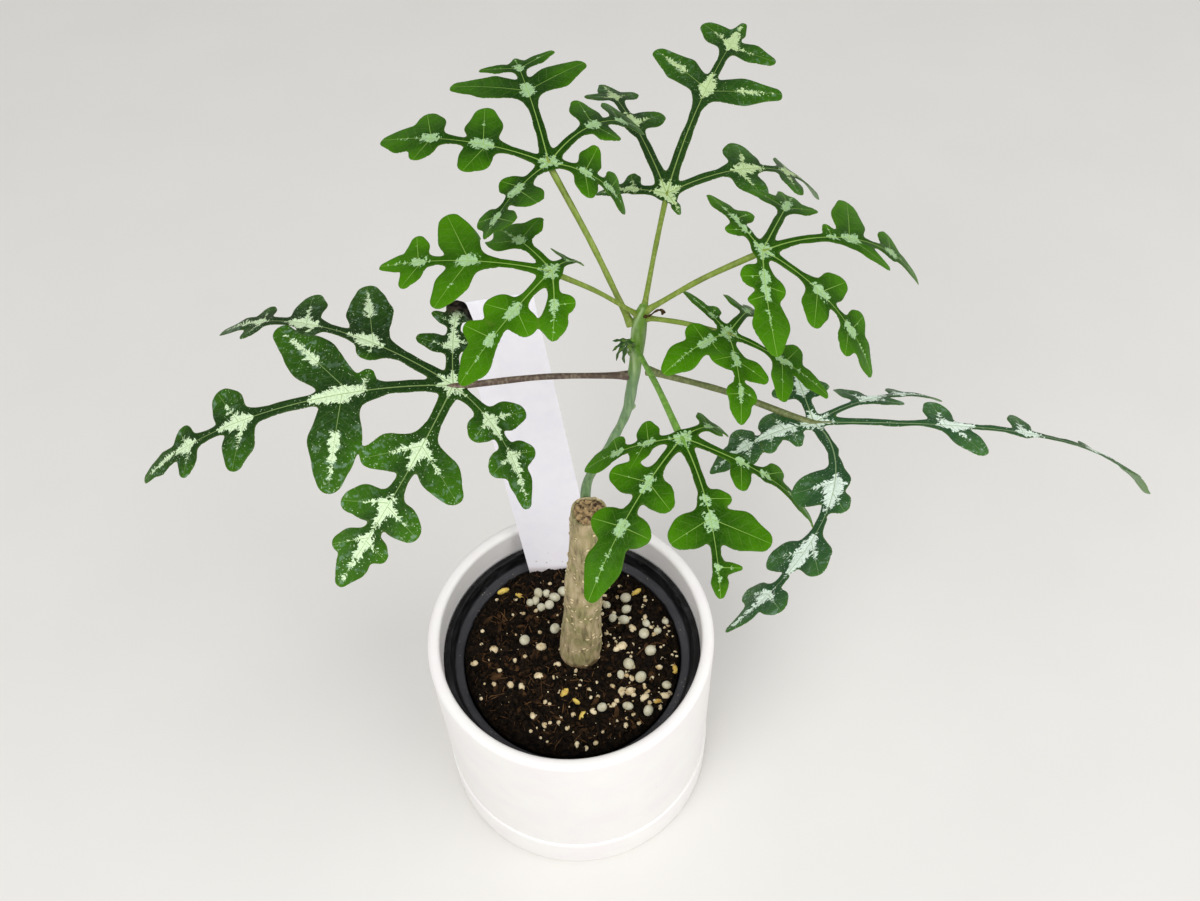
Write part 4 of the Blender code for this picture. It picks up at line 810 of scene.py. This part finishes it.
# How large the silver patches of each leaf are beside the widths of its lobules.
SILVER = {"leaf_a": 0.9, "leaf_b": 1.0, "leaf_c": 0.85, "leaf_d": 0.85, "leaf_e": 0.75, "leaf_f": 1.0,
          "leaf_g": 1.15, "leaf_h": 0.8}
DARK_LEAVES = ("leaf_b", "leaf_f", "leaf_g")
PATCHED_REACH = 20     # a lobule of a dark leaf that is longer than this has a patch of its own
DRIED_LOBE = ("leaf_f", 3)       # the lobe whose tips have dried and curled
DRIED_FROM = 22        # how far along it the dried part starts
CROSS_ARCH = 0.008     # curvature of a lobe across its midrib, per millimetre
MELT = 0.7             # how softly the parts of one outline run together
NECK_TAPER = 0.35      # share of its width that a lobe's strip loses by the tip
END_NECK = 0.42        # half width where a lobe's end starts, as a share of its end's half width
END_TIP = 0.45         # half width of a lobe's tip, as a share of its end's half width
LOBE_BLEND = 1.2       # distance over which one lobe's bend passes into the next
RIB_LEAD = 25          # millimetres by which a lobe's bend is also worked out behind its base
RIB_END = 131          # and the length up to which it is worked out
LEAST_SWING = 0.02     # radians, so that the arc of a straight midrib has a radius
BLADE_STEP = 0.45      # spacing of a blade's points
BLOCK = 8              # points on a side of the blocks in which a blade is first looked for
OUTSIDE = 9.0          # stands for the outline's distance where no blade is near
SHORTEST_EDGE = 0.13
BLADE_HALF = 0.17      # half the blade's thickness away from its ribs
EDGE_ROUNDING = 0.5    # width over which the blade thins to nothing at its margin
RIB_LINE = 0.2         # half width of a midrib's pale line at its base
SIDE_RIB_LINE = 0.12
GROOVE = (0.16, 0.5)   # depth and half width of the groove over a rib
SWELL = (0.1, 1.1, 0.6)          # height, distance from the rib and half width of the swelling beside it
RIDGE = (0.42, 0.55)   # height and half width of the ridge under a rib
BLADE_WAVE = 0.35      # how far the blade waves up and down away from its ribs
DRIED_CURL = 1.1       # how far the dried lobe has curled
MARGIN_WAVE = 0.1      # how far the margin wanders in and out
VEIN_STEP = 2.6        # from one side vein to the next
LEAF_SHEEN = 0.06
STALK_STEPS = 70
STALK_SIDES = 20


def round_cone(points, start, end, start_radius, end_radius):
    """Signed distance to a drop: two discs and the two tangents that close round them."""
    axis = end - start
    length = np.hypot(*axis)
    axis = axis / length
    offset = points - start
    along = offset @ axis
    across = np.abs(offset @ np.array((-axis[1], axis[0])))
    lean = min(0.95, max(-0.95, (start_radius - end_radius) / length))
    upright = math.sqrt(1 - lean * lean)
    climb = along * upright - across * lean
    near_start = np.hypot(across, along) - start_radius
    near_end = np.hypot(across, along - length) - end_radius
    flank = across * upright + along * lean - start_radius
    return np.where(climb < 0, near_start, np.where(climb > upright * length, near_end, flank))


def rib_arc(lobe):
    """A lobe's midrib lies on an arc of the leaf's plane: its first direction and its radius."""
    turn, length, swing = math.radians(lobe.turn), lobe.length, math.radians(lobe.swing)
    if abs(swing) < LEAST_SWING:
        swing = LEAST_SWING
    return turn, length / swing


def rib_point(lobe, along):
    """The point of the leaf's plane this far along a midrib, and the rib's direction there."""
    turn, radius = rib_arc(lobe)
    way = turn + np.asarray(along, float) / radius
    x = radius * (np.sin(way) - math.sin(turn))
    y = radius * (math.cos(turn) - np.cos(way))
    return np.stack((x, y), -1), way


def rib_coordinates(lobe, points):
    """How far along a lobe's midrib each point of the plane lies, and how far to its left."""
    turn, radius = rib_arc(lobe)
    away = points - radius * np.array((-math.sin(turn), math.cos(turn)))
    sense = math.copysign(1, radius)
    angle = np.arctan2(away[:, 0] * sense, -away[:, 1] * sense)
    sweep = (angle - turn + math.pi) % (2 * math.pi) - math.pi
    return sweep * radius, radius - sense * np.hypot(away[:, 0], away[:, 1])


def last_lobule(lobe):
    """Place along the midrib where a lobe's last lobule branches off."""
    return max([lobule[0] for lobule in lobe.lobules], default=0.3 * lobe.length)


def lobule_start(lobe, along, angle):
    """Where a lobule leaves its lobe's midrib, and which way it heads."""
    start, way = rib_point(lobe, along)
    return start, pointing(way + math.radians(angle))


def lobe_drops(leaf, lobe):
    """The drops that a lobe's outline is made of, in groups: its rib's strip and end, then each lobule.

    The strip narrows towards the tip and flares where a lobule leaves it. A lobule and the end are
    widest near their middle and round at their tip.
    """
    length, end_half, neck = lobe.length, lobe.end_half, leaf["neck"]
    last = last_lobule(lobe)
    stops = np.linspace(0, last, 5)
    strip, _ = rib_point(lobe, stops)
    halves = neck * (1 - NECK_TAPER * stops / length)
    rib = list(zip(strip[:-1], strip[1:], halves[:-1], halves[1:]))
    end, _ = rib_point(lobe, (last, (last + length) / 2, length - END_TIP * end_half))
    rib.append((end[0], end[1], END_NECK * end_half, end_half))
    rib.append((end[1], end[2], end_half, END_TIP * end_half))
    groups = [rib]
    for along, angle, reach, half in lobe.lobules:
        flare, _ = rib_point(lobe, (max(0, along - 1.5 * half), along, min(along + 1.2 * half, length - 1)))
        rib.append((flare[0], flare[1], 0.8 * neck, 0.6 * half))
        rib.append((flare[1], flare[2], 0.5 * half, 0.8 * neck))
        start, out = lobule_start(lobe, along, angle)
        widest = start + out * min(0.48 * reach, reach - half)
        tip = half * min(0.75, 0.15 + 1.4 * half / reach)
        groups.append([(start, widest, 0.55 * half, half), (widest, start + out * (reach - tip), half, tip)])
    return groups


def melted(distances):
    """One smooth distance from several: -MELT log(sum of exp(-distance / MELT))."""
    return -MELT * np.log(np.exp(-np.maximum(distances, -20) / MELT).sum(0))


def lobe_distance(leaf, lobe, points):
    """Signed distance from points of the leaf's plane to one lobe's outline."""
    groups = lobe_drops(leaf, lobe)
    nearest = [np.stack([round_cone(points, *drop) for drop in group]).min(0) for group in groups]
    return melted(np.stack(nearest))


def leaf_distance(leaf, points):
    """Signed distance from points of the leaf's plane to the whole outline."""
    return melted(np.stack([lobe_distance(leaf, lobe, points) for lobe in leaf["lobes"]]))


def swung(first, second, angle):
    """Two directions at right angles, both turned by an angle from the first towards the second."""
    return np.cos(angle) * first + np.sin(angle) * second, np.cos(angle) * second - np.sin(angle) * first


def leaf_axes(leaf):
    """The middle lobe's forward, left and up directions where the blade starts."""
    heading, pitch, bank = np.radians(leaf["aim"])
    forward = np.array((*math.cos(pitch) * pointing(heading), math.sin(pitch)))
    left = np.array((-math.sin(heading), math.cos(heading), 0))
    return forward, *swung(left, np.cross(forward, left), bank)


def lobe_axes(leaf, lobe, along):
    """Directions along, across and over a lobe's midrib, which droops, swings and twists to its tip."""
    forward, left, up = leaf_axes(leaf)
    share = np.minimum(along / lobe.length, 1.05)[:, None]
    flat, side = swung(forward, left, np.radians(lobe.turn + lobe.swing * share))
    over, tangent = swung(up, flat, np.radians(lobe.droop * share - lobe.rise))
    return tangent, *swung(side, over, np.radians(lobe.twist * share))


def lobe_surface(leaf, lobe, points):
    """Carry points of the leaf's plane onto a lobe: along its bent midrib, and arched across it."""
    along, across = rib_coordinates(lobe, points)
    steps = np.arange(-RIB_LEAD, RIB_END, 1.0)
    tangent, _, _ = lobe_axes(leaf, lobe, (steps[1:] + steps[:-1]) / 2)
    path = np.vstack(((0, 0, 0), np.cumsum(tangent, axis=0)))
    path -= path[RIB_LEAD]
    spine = np.stack([np.interp(along, steps, path[:, k]) for k in range(3)], -1)
    _, side, over = lobe_axes(leaf, lobe, along)
    arch = CROSS_ARCH * across[:, None]
    arched = side * np.sin(arch) / CROSS_ARCH - over * (1 - np.cos(arch)) / CROSS_ARCH
    return np.array(leaf["base"]) + spine + arched


def lobe_weights(leaf, points):
    """How much each lobe has to say at each point: its share falls off with its outline's distance."""
    distances = np.stack([lobe_distance(leaf, lobe, points) for lobe in leaf["lobes"]])
    weights = np.exp(-(distances - distances.min(0)) / LOBE_BLEND)
    return weights / weights.sum(0)


def leaf_surface(leaf, weights, points):
    """Carry points of the leaf's plane into space, each lobe's bend passing smoothly into the next."""
    surfaces = np.stack([lobe_surface(leaf, lobe, points) for lobe in leaf["lobes"]])
    return (weights[:, :, None] * surfaces).sum(0)


def rib_readings(leaf, points):
    """Every rib of a leaf, seen from points of its plane.

    For each midrib and each lobule's rib: how far along it and to its left a point lies, its distance,
    how far out into the lobule the point is, from nought to one, and half the width of the pale line.
    """
    found = []
    for lobe in leaf["lobes"]:
        along, across = rib_coordinates(lobe, points)
        last = last_lobule(lobe)
        found.append((along, across, lobe.length, (along - last) / (lobe.length - last), RIB_LINE))
        for place, angle, reach, _ in lobe.lobules:
            start, out = lobule_start(lobe, place, angle)
            ahead, aside = (points - start) @ out, (points - start) @ np.array((-out[1], out[0]))
            found.append((ahead, aside, reach, ahead / reach, SIDE_RIB_LINE))
    along, across, out = (np.stack([rib[k] for rib in found]) for k in (0, 1, 3))
    length, line = (np.array([rib[k] for rib in found])[:, None] for k in (2, 4))
    past = np.maximum(np.maximum(-along, along - 0.94 * length), 0)
    taper = np.clip(1 - 0.75 * along / length, 0.2, 1)
    return along, across, np.hypot(across, past), np.clip(out, 0, 1), line * taper


def patch_distance(name, leaf, points):
    """Signed distance to the silver patches: drops at the base, where ribs fork, and down each lobule.

    On a dark leaf a patch is a kite with its near corner at the fork, on a bright one a round blot.
    """
    dark, silver = name in DARK_LEAVES, SILVER[name]
    drops = []
    for lobe in leaf["lobes"]:
        last = last_lobule(lobe)
        palm, _ = rib_point(lobe, (0.5, 4.0 if dark else 2.8))
        drops.append((*palm, (1.7 if dark else 1.4) * silver, (0.5 if dark else 0.3) * silver))
        end, _ = rib_point(lobe, (last + 0.3 * (lobe.length - last), last + 0.8 * (lobe.length - last)))
        wide, narrow = (0.24, 0.05) if dark else (0.05, -0.1)
        drops.append((*end, wide * lobe.end_half * silver, narrow * lobe.end_half * silver))
        for place, angle, reach, half in lobe.lobules:
            grown = (0.55 * half + 1.5) * silver
            start, out = lobule_start(lobe, place, angle)
            out = out * reach
            if dark:
                kite, _ = rib_point(lobe, (place - 0.5 * grown, place + 0.3 * grown, place + 1.5 * grown))
                drops.append((kite[0], kite[1], 0.08 * grown, 0.48 * grown))
                drops.append((kite[1], kite[2], 0.48 * grown, 0.12 * grown))
                if reach > PATCHED_REACH:
                    drops.append((start + 0.44 * out, start + 0.52 * out, 0.22 * grown, 0.26 * grown))
                    drops.append((start + 0.52 * out, start + 0.86 * out, 0.2 * grown, 0.03 * grown))
                else:
                    drops.append((start, start + 0.55 * out, 0.3 * grown, 0.0))
            else:
                blot, _ = rib_point(lobe, (place - 0.15 * half, place + 0.4 * half))
                drops.append((*blot, 0.42 * grown, 0.4 * grown))
                drops.append((start + 0.5 * out, start + 0.6 * out, -0.25, -0.3))
    return np.stack([round_cone(points, *drop) for drop in drops]).min(0)


def pressed_blade(leaf):
    """A leaf laid flat: a grid cut where the distance to the outline, taken as a height, is nought.

    Gives its points, how far in from the margin each lies, its triangles, and which points are on it.
    """
    reach = max(lobe.length for lobe in leaf["lobes"]) + 3
    blocks = math.ceil(2 * reach / (BLADE_STEP * BLOCK))
    lines = (np.arange(blocks * BLOCK) - blocks * BLOCK / 2) * BLADE_STEP
    columns = len(lines)
    grid = np.stack(np.meshgrid(lines, lines), -1)
    middles = grid[BLOCK // 2::BLOCK, BLOCK // 2::BLOCK].reshape(-1, 2)
    near = leaf_distance(leaf, middles).reshape(blocks, blocks) < BLOCK * BLADE_STEP
    near = np.kron(near, np.ones((BLOCK, BLOCK), bool)).ravel().astype(bool)
    grid = grid.reshape(-1, 2)
    height = np.full(len(grid), OUTSIDE)
    height[near] = leaf_distance(leaf, grid[near]) + MARGIN_WAVE * lumps(grid[near], 4, 15)
    low = (np.arange(columns - 1)[:, None] * columns + np.arange(columns - 1)).ravel()
    quads = np.stack((low, low + 1, low + columns + 1, low + columns), -1)
    quads = quads[height[quads].min(1) < 0]
    used, quads = np.unique(quads, return_inverse=True)
    mesh = bpy.data.meshes.new("pressed")
    mesh.from_pydata(np.column_stack((grid[used], height[used])), [], quads.reshape(-1, 4))
    shape = bmesh.new()
    shape.from_mesh(mesh)
    everything = list(shape.verts) + list(shape.edges) + list(shape.faces)
    bmesh.ops.bisect_plane(shape, geom=everything, dist=1e-5, plane_no=(0, 0, 1), clear_outer=True)
    bmesh.ops.remove_doubles(shape, verts=shape.verts, dist=SHORTEST_EDGE)
    bmesh.ops.triangulate(shape, faces=shape.faces)
    shape.to_mesh(mesh)
    shape.free()
    points = np.empty(3 * len(mesh.vertices))
    mesh.vertices.foreach_get("co", points)
    triangles = np.empty(len(mesh.loops), int)
    mesh.loops.foreach_get("vertex_index", triangles)
    bpy.data.meshes.remove(mesh)
    points, triangles = points.reshape(-1, 3), triangles.reshape(-1, 3)
    edges = np.sort(triangles[:, [[0, 1], [1, 2], [2, 0]]].reshape(-1, 2), axis=1)
    edges, uses = np.unique(edges, axis=0, return_counts=True)
    margin = np.zeros(len(points), bool)
    margin[edges[uses == 1]] = True
    return points[:, :2], np.maximum(-points[:, 2], 0), triangles, margin


def point_normals(points, triangles):
    """The way that each point faces: the sum of the cross products of its triangles' sides."""
    a, b, c = (points[triangles[:, k]] for k in range(3))
    facing = np.cross(b - a, c - a)
    corners = triangles.ravel()
    return unit(np.stack([np.bincount(corners, np.repeat(part, 3), len(points)) for part in facing.T], -1))


def blade(leaf_name, leaf, materials):
    """A leaf's blade, closed: the pressed outline carried into space, thin at its margin, ribbed below.

    Its upper side sinks into a groove over each rib, and its lower side stands out in a ridge under it.
    """
    flat, inward, triangles, margin = pressed_blade(leaf)
    weights = lobe_weights(leaf, flat)
    surface = leaf_surface(leaf, weights, flat)
    normals = point_normals(surface, triangles)
    along, across, off, out, line = rib_readings(leaf, flat)
    nearest = off.argmin(0)
    columns = np.arange(len(flat))
    rib_gap, rib_line = off[nearest, columns], line[nearest, columns]
    dried = np.zeros(len(flat))
    if DRIED_LOBE[0] == leaf_name:
        lobe_along, _ = rib_coordinates(leaf["lobes"][DRIED_LOBE[1]], flat)
        dried = weights[DRIED_LOBE[1]] * np.clip((lobe_along - DRIED_FROM) / 3, 0, 1)
    wave = BLADE_WAVE * lumps(flat, 8, len(flat)) * (1 - np.exp(-rib_gap / 3))
    wave = wave + DRIED_CURL * dried * lumps(flat, 4, 16)
    surface = surface + normals * wave[:, None]
    thin = np.clip(inward / EDGE_ROUNDING, 0, 1)
    half = BLADE_HALF * np.sqrt(thin * (2 - thin))
    reach = rib_line / RIB_LINE
    groove = GROOVE[0] * np.exp(-(rib_gap / GROOVE[1]) ** 2)
    groove = groove - SWELL[0] * np.exp(-((rib_gap - SWELL[1]) / SWELL[2]) ** 2)
    above = half - groove * reach * thin
    below = half + RIDGE[0] * np.exp(-(rib_gap / RIDGE[1]) ** 2) * reach * thin
    lower = np.where(margin, columns, len(flat) + np.cumsum(~margin) - 1)
    points = np.vstack((surface + normals * above[:, None], (surface - normals * below[:, None])[~margin]))
    faces = np.vstack((triangles, lower[triangles][:, ::-1]))
    sides = np.repeat((0, 1), len(triangles)).astype(np.int32)
    made = smoothed(piece(leaf_name.replace("leaf", "blade"), points, faces, materials, sides), 70)
    fresh = (np.array(FRESHNESS[leaf_name])[:, None] * weights).sum(0)
    closeness = np.exp(-(off - off.min(0)) / 1.2)
    outer = (closeness * out).sum(0) / closeness.sum(0)
    patch = patch_distance(leaf_name, leaf, flat)
    for key, numbers in dict(fresh=fresh, outer=outer, dried=dried, patch=patch, inward=inward).items():
        add_numbers(made, key, np.concatenate((numbers, numbers[~margin])))
    owner = off[:, triangles].sum(-1).argmin(0)[:, None]
    for key, numbers in (("rib_along", along), ("rib_across", across), ("rib_line", line)):
        corners = numbers[owner, triangles]
        add_numbers(made, key, np.vstack((corners, corners[:, ::-1])), "CORNER")
    return made


def leaf_skin(name, deep, bright, rib, silver, speckled, upper):
    """Leaf skin, upper or lower: green from deep to bright, pale ribs, faint veins, torn silver patches.

    A side vein leaves its rib every VEIN_STEP millimetres and bends forwards as it goes out. The edge
    of a silver patch is torn into teeth that point along the side veins.
    """
    made, shader, place = finish(name, LEAF_SHEEN)
    across = place.read("rib_across").math("ABSOLUTE")
    along, line, fresh, outer, patch, inward, dried = (
        place.read(kept) for kept in ("rib_along", "rib_line", "fresh", "outer", "patch", "inward", "dried"))
    rib_mask = 1 - (across / line).step(0.5, 1.15)
    forwards = along - across * 0.62 - across * across * 0.035
    vein_gap = ((forwards / VEIN_STEP).math("FRACT") - 0.5).math("ABSOLUTE") * VEIN_STEP
    vein = (1 - vein_gap.step(0.04, 0.2)) * across.step(0.3, 0.9) * inward.step(0.2, 1.2)
    net = 1 - place.cells(0.85, feature="DISTANCE_TO_EDGE").step(0.02, 0.12)
    chance = place.cells(0.7, "Color")
    mottle = place.noise(3.0, 4)
    share = (fresh * 0.65 + outer * 0.6 + (mottle - 0.5) * 0.5).step(0.05, 1.2)
    green = share.blend(deep, bright)
    green = (vein * (0.09 if upper else 0.5)).blend(green, rib)
    green = (net * (0.05 if upper else 0.15)).blend(green, rib)
    teeth = place.add("CombineXYZ", None, {0: forwards, 1: across * 0.22, 2: line * 20}).noise(0.42, 4)
    ragged = (teeth - 0.5) * (2.6 + 0.8 * speckled) + (place.noise(1.5) - 0.5) * 2.0 + (chance - 0.5) * 1.1
    silvery = (ragged - patch).step(-0.08, 0.12)
    if upper:
        shaded = silvery * (0.95 - net * 0.16 - vein * 0.2)
        green = shaded.blend(green, silver)
        dots = (1 - place.cells(0.8).step(0.13, 0.2)) * place.noise(4.5).step(0.42, 0.58) * speckled
        flecks = place.noise(0.7, 5).step(0.6, 0.64) * place.noise(6).step(0.52, 0.66) * speckled
        green = ((dots * 0.8 + flecks * 0.5 * outer).math("MINIMUM", 1.0) * 0.7).blend(green, silver)
        film = place.noise(1.8, 5).step(0.54, 0.66) * outer * speckled
        green = (film * 0.5).blend(green, (134, 162, 144))
    else:
        green = (silvery * 0.25).blend(green, silver)
    green = (rib_mask * 0.78).blend(green, rib)
    green = ((1 - inward.step(0.08, 0.36)) * 0.3).blend(green, (90, 112, 44))
    green = dried.blend(green, mottle.step(0.4, 0.62).blend((14, 12, 10), (62, 56, 47)))
    green.feed(shader, "Base Color")
    (0.38 + silvery * 0.12 + (mottle - 0.5) * 0.2 + dried * 0.3).feed(shader, "Roughness")
    relief = place.noise(0.45, 3) * 0.25 + mottle * 0.5 - vein * 0.8 - net * 0.25
    (relief * (1 if upper else -1)).bump(0.07).feed(shader, "Normal")
    return made


BRIGHT_TOP = ("bright_leaf_top", (22, 54, 4), (68, 122, 0), (142, 176, 88), (160, 194, 144), 0.0)
BRIGHT_BACK = ("bright_leaf_back", (78, 118, 56), (120, 160, 66), (168, 190, 116), (150, 180, 130), 0.0)
DARK_BACK = ("dark_leaf_back", (86, 118, 88), (120, 152, 100), (160, 182, 128), (150, 176, 140), 0.0)
DARK_TOPS = {
    "leaf_b": ("young_dark_leaf_top", (30, 56, 26), (60, 110, 16), (138, 162, 90), (190, 214, 158), 0.6),
    "leaf_f": ("dark_leaf_top", (30, 54, 24), (60, 108, 14), (138, 162, 100), (214, 236, 194), 1.0),
    "leaf_g": ("grey_leaf_top", (44, 76, 48), (72, 118, 54), (146, 170, 122), (236, 252, 238), 1.0)}
bright_skins = [leaf_skin(*BRIGHT_TOP, True), leaf_skin(*BRIGHT_BACK, False)]
dark_back = leaf_skin(*DARK_BACK, False)
dark_skins = {leaf_name: [leaf_skin(*top, True), dark_back] for leaf_name, top in DARK_TOPS.items()}
green_stalk = stem("green_stalk", (112, 136, 50), (116, 138, 46), (166, 176, 104), 0.35)
stalk_skins = {"leaf_f": stem("brown_stalk", (84, 66, 56), (84, 66, 56), (150, 138, 116), 0.5),
               "leaf_g": stem("olive_stalk", (98, 106, 60), (98, 106, 60), (148, 154, 104), 0.45),
               "leaf_h": stem("fresh_stalk", (98, 146, 48), (98, 146, 48), (156, 190, 104), 0.4)}


def stalk(name, leaf, material):
    """A leaf's stalk: a bowed tube, wider at the shoot, grooved above, that tapers out along the midrib."""
    root, base = np.array(leaf["root"], float), np.array(leaf["base"], float)
    forward, _, up = leaf_axes(leaf)
    middle = (root + base) / 2 + (0, 0, 0.03 * np.linalg.norm(base - root))
    radius = leaf["stalk"] / 2
    under = base - 0.35 * up
    path, radii = smooth_route((
        (*root, 1.6 * radius), (*(root + 0.12 * (base - root) + (0, 0, 0.4)), radius),
        (*middle, 0.95 * radius), (*(under - 0.06 * (base - root)), 1.05 * radius),
        (*(under + 1.2 * forward), 0.75 * radius), (*(under + 2.6 * forward), 0.45 * radius),
        (*(under + 4.4 * forward), 0.2)), STALK_STEPS)
    angles = circle(STALK_SIDES)
    groove = 1 - 0.12 * np.exp(-(angles - math.pi / 2) ** 2 / 0.18) + 0.025 * np.cos(5 * angles)
    grown = radii * groove * (1 + 0.04 * lumps(path, 5, 17)[:, None])
    return closed_tube(name, rings(path, grown, UPRIGHT), material)


for leaf_name, leaf_values in LEAVES.items():
    blade_piece = blade(leaf_name, leaf_values, dark_skins.get(leaf_name, bright_skins))
    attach(blade_piece, "root")
    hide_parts(leaf_name)
    stalk_piece = stalk(leaf_name.replace("leaf", "stalk"), leaf_values,
                        stalk_skins.get(leaf_name, green_stalk))
    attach(stalk_piece, "root")

# The plant label is a strip cut from thin white plastic sheet, square above and pointed below.
# It was pushed into the mix behind the trunk and leans back, away from the leaves. Its face is bare.
LABEL_FOOT = (*LABEL_SLOT, SOIL_TOP)
LABEL_HEAD = (-18.8, 64.7, 196.3)      # the middle of its upper edge
LABEL_WIDTH = 25.0
LABEL_THICKNESS = 0.8
LABEL_BURIED = 28.0    # how deep it stands in the mix
LABEL_POINT = 18.0     # length over which it narrows to its tip
LABEL_TIP_HALF = 3.0
LABEL_BEVEL = 0.12


def label_plastic():
    """White plastic sheet with a cool cast: faint scuffs, and splashes of soil near the mix."""
    made, shader, place = finish("white_sheet")
    height = place.height()
    scuff = place.noise(5, 5)
    splash = (1 - place.cells(2.6).step(0.08, 0.2)) * (1 - height.step(SOIL_TOP + 1, SOIL_TOP + 16))
    damp = 1 - height.step(SOIL_TOP - 0.5, SOIL_TOP + 2.5)
    white = scuff.step(0.3, 0.8).blend((251, 248, 255), (246, 243, 252))
    stain = (splash * 0.6 + damp * 0.5).math("MINIMUM", 1.0)
    stain.blend(white, (150, 128, 112)).feed(shader, "Base Color")
    (0.42 + scuff * 0.16).feed(shader, "Roughness")
    scuff.bump(0.05).feed(shader, "Normal")
    return made


label_up = np.subtract(LABEL_HEAD, LABEL_FOOT)
label_top = np.linalg.norm(label_up)
label_up = label_up / label_top
label_across = unit(np.array((1.0, 0, 0)) - label_up * label_up[0])
label_through = np.cross(label_across, label_up)
label_half = LABEL_WIDTH / 2
label_shoulder = LABEL_POINT - LABEL_BURIED
label_outline = softened((
    (label_half, label_top, 0.8), (-label_half, label_top, 0.8), (-label_half, label_shoulder, 2),
    (-LABEL_TIP_HALF, -LABEL_BURIED, 1), (LABEL_TIP_HALF, -LABEL_BURIED, 1),
    (label_half, label_shoulder, 2)))
label_middle = label_outline.mean(0)
label_levels = LABEL_THICKNESS / 2 * np.array((-1, -1, 1, 1)) + LABEL_BEVEL * np.array((0, 1, -1, 0))
label_inset = np.array((1, 0, 0, 1))[:, None, None] * LABEL_BEVEL * np.sign(label_outline - label_middle)
label_plane = label_outline - label_inset
label_points = np.array(LABEL_FOOT) + label_plane[:, :, :1] * label_across
label_points = label_points + label_plane[:, :, 1:] * label_up + label_levels[:, None, None] * label_through
label_count = len(label_outline)
label_faces = grid_faces(4, label_count).tolist()
label_faces += [list(range(label_count)), list(range(3 * label_count, 4 * label_count))]
label_piece = outwards(piece("white_label", label_points.reshape(-1, 3), label_faces, [label_plastic()]), 30)
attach(label_piece, "root")
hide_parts("plant_label")

# The pot stands on a plain pale floor in soft light from a large window and the room.
FLOOR_REACH = 4000
FLOOR_PALE = (226, 224, 220)
KEY_LIGHT = dict(place=(-500, -750, 1300), size=900, watts=12.5)
FILL_LIGHT = dict(place=(900, -550, 950), size=1400, watts=9)
ROOM_LIGHT = 0.5


def floor_finish():
    """A pale matt floor, barely uneven."""
    made, shader, place = finish("pale_floor")
    uneven = place.noise(60, 4)
    uneven.blend(FLOOR_PALE, (220, 218, 214)).feed(shader, "Base Color")
    (0.7 + uneven * 0.1).feed(shader, "Roughness")
    return made


floor_corners = np.array(((-1, -1, 0), (1, -1, 0), (1, 1, 0), (-1, 1, 0))) * FLOOR_REACH
floor = piece("floor", floor_corners, [(0, 1, 2, 3)], [floor_finish()])
pot_middle = np.array((10, 0, 150))
for light_name, light_values in (("window", KEY_LIGHT), ("room_side", FILL_LIGHT)):
    light = bpy.data.lights.new(light_name, "AREA")
    light.shape = "DISK"
    light.size = light_values["size"] * MM
    light.energy = light_values["watts"]
    lamp = placed(light_name, light)
    lamp.location = np.array(light_values["place"]) * MM
    towards = (pot_middle - light_values["place"]).astype(float)
    azimuth, drop = math.atan2(towards[1], towards[0]), math.atan2(-towards[2], math.hypot(*towards[:2]))
    lamp.rotation_euler = (math.pi / 2 - drop, 0, azimuth - math.pi / 2)
room = bpy.data.worlds.new("room")
room.use_nodes = True
room.node_tree.nodes["Background"].inputs["Color"].default_value = (1.0, 1.0, 1.0, 1.0)
room.node_tree.nodes["Background"].inputs["Strength"].default_value = ROOM_LIGHT
bpy.context.scene.world = room
bpy.context.scene.view_settings.view_transform = "Standard"

# The camera looks down from in front, as the photograph was taken, a little turned on its own axis.
CAMERA_PLACE = (12.7, -208.2, 500.9)
CAMERA_PITCH = 55.0    # degrees below the horizon
CAMERA_ROLL = -2.2
CAMERA_LENS = 39.0
CAMERA_SENSOR = 36.0
pitch, roll = math.radians(CAMERA_PITCH), math.radians(CAMERA_ROLL)
ahead = np.array((0, math.cos(pitch), -math.sin(pitch)))
rightwards = np.array((1.0, 0, 0))
upwards = np.cross(rightwards, ahead)
camera_x, camera_y = swung(rightwards, upwards, roll)
camera_data = bpy.data.cameras.new("camera")
camera_data.lens = CAMERA_LENS
camera_data.sensor_width = CAMERA_SENSOR
camera = placed("camera", camera_data)
camera_matrix = np.eye(4)
camera_matrix[:3] = np.column_stack((camera_x, camera_y, -ahead, np.array(CAMERA_PLACE) * MM))
camera.matrix_world = camera_matrix.T.tolist()
bpy.context.scene.camera = camera
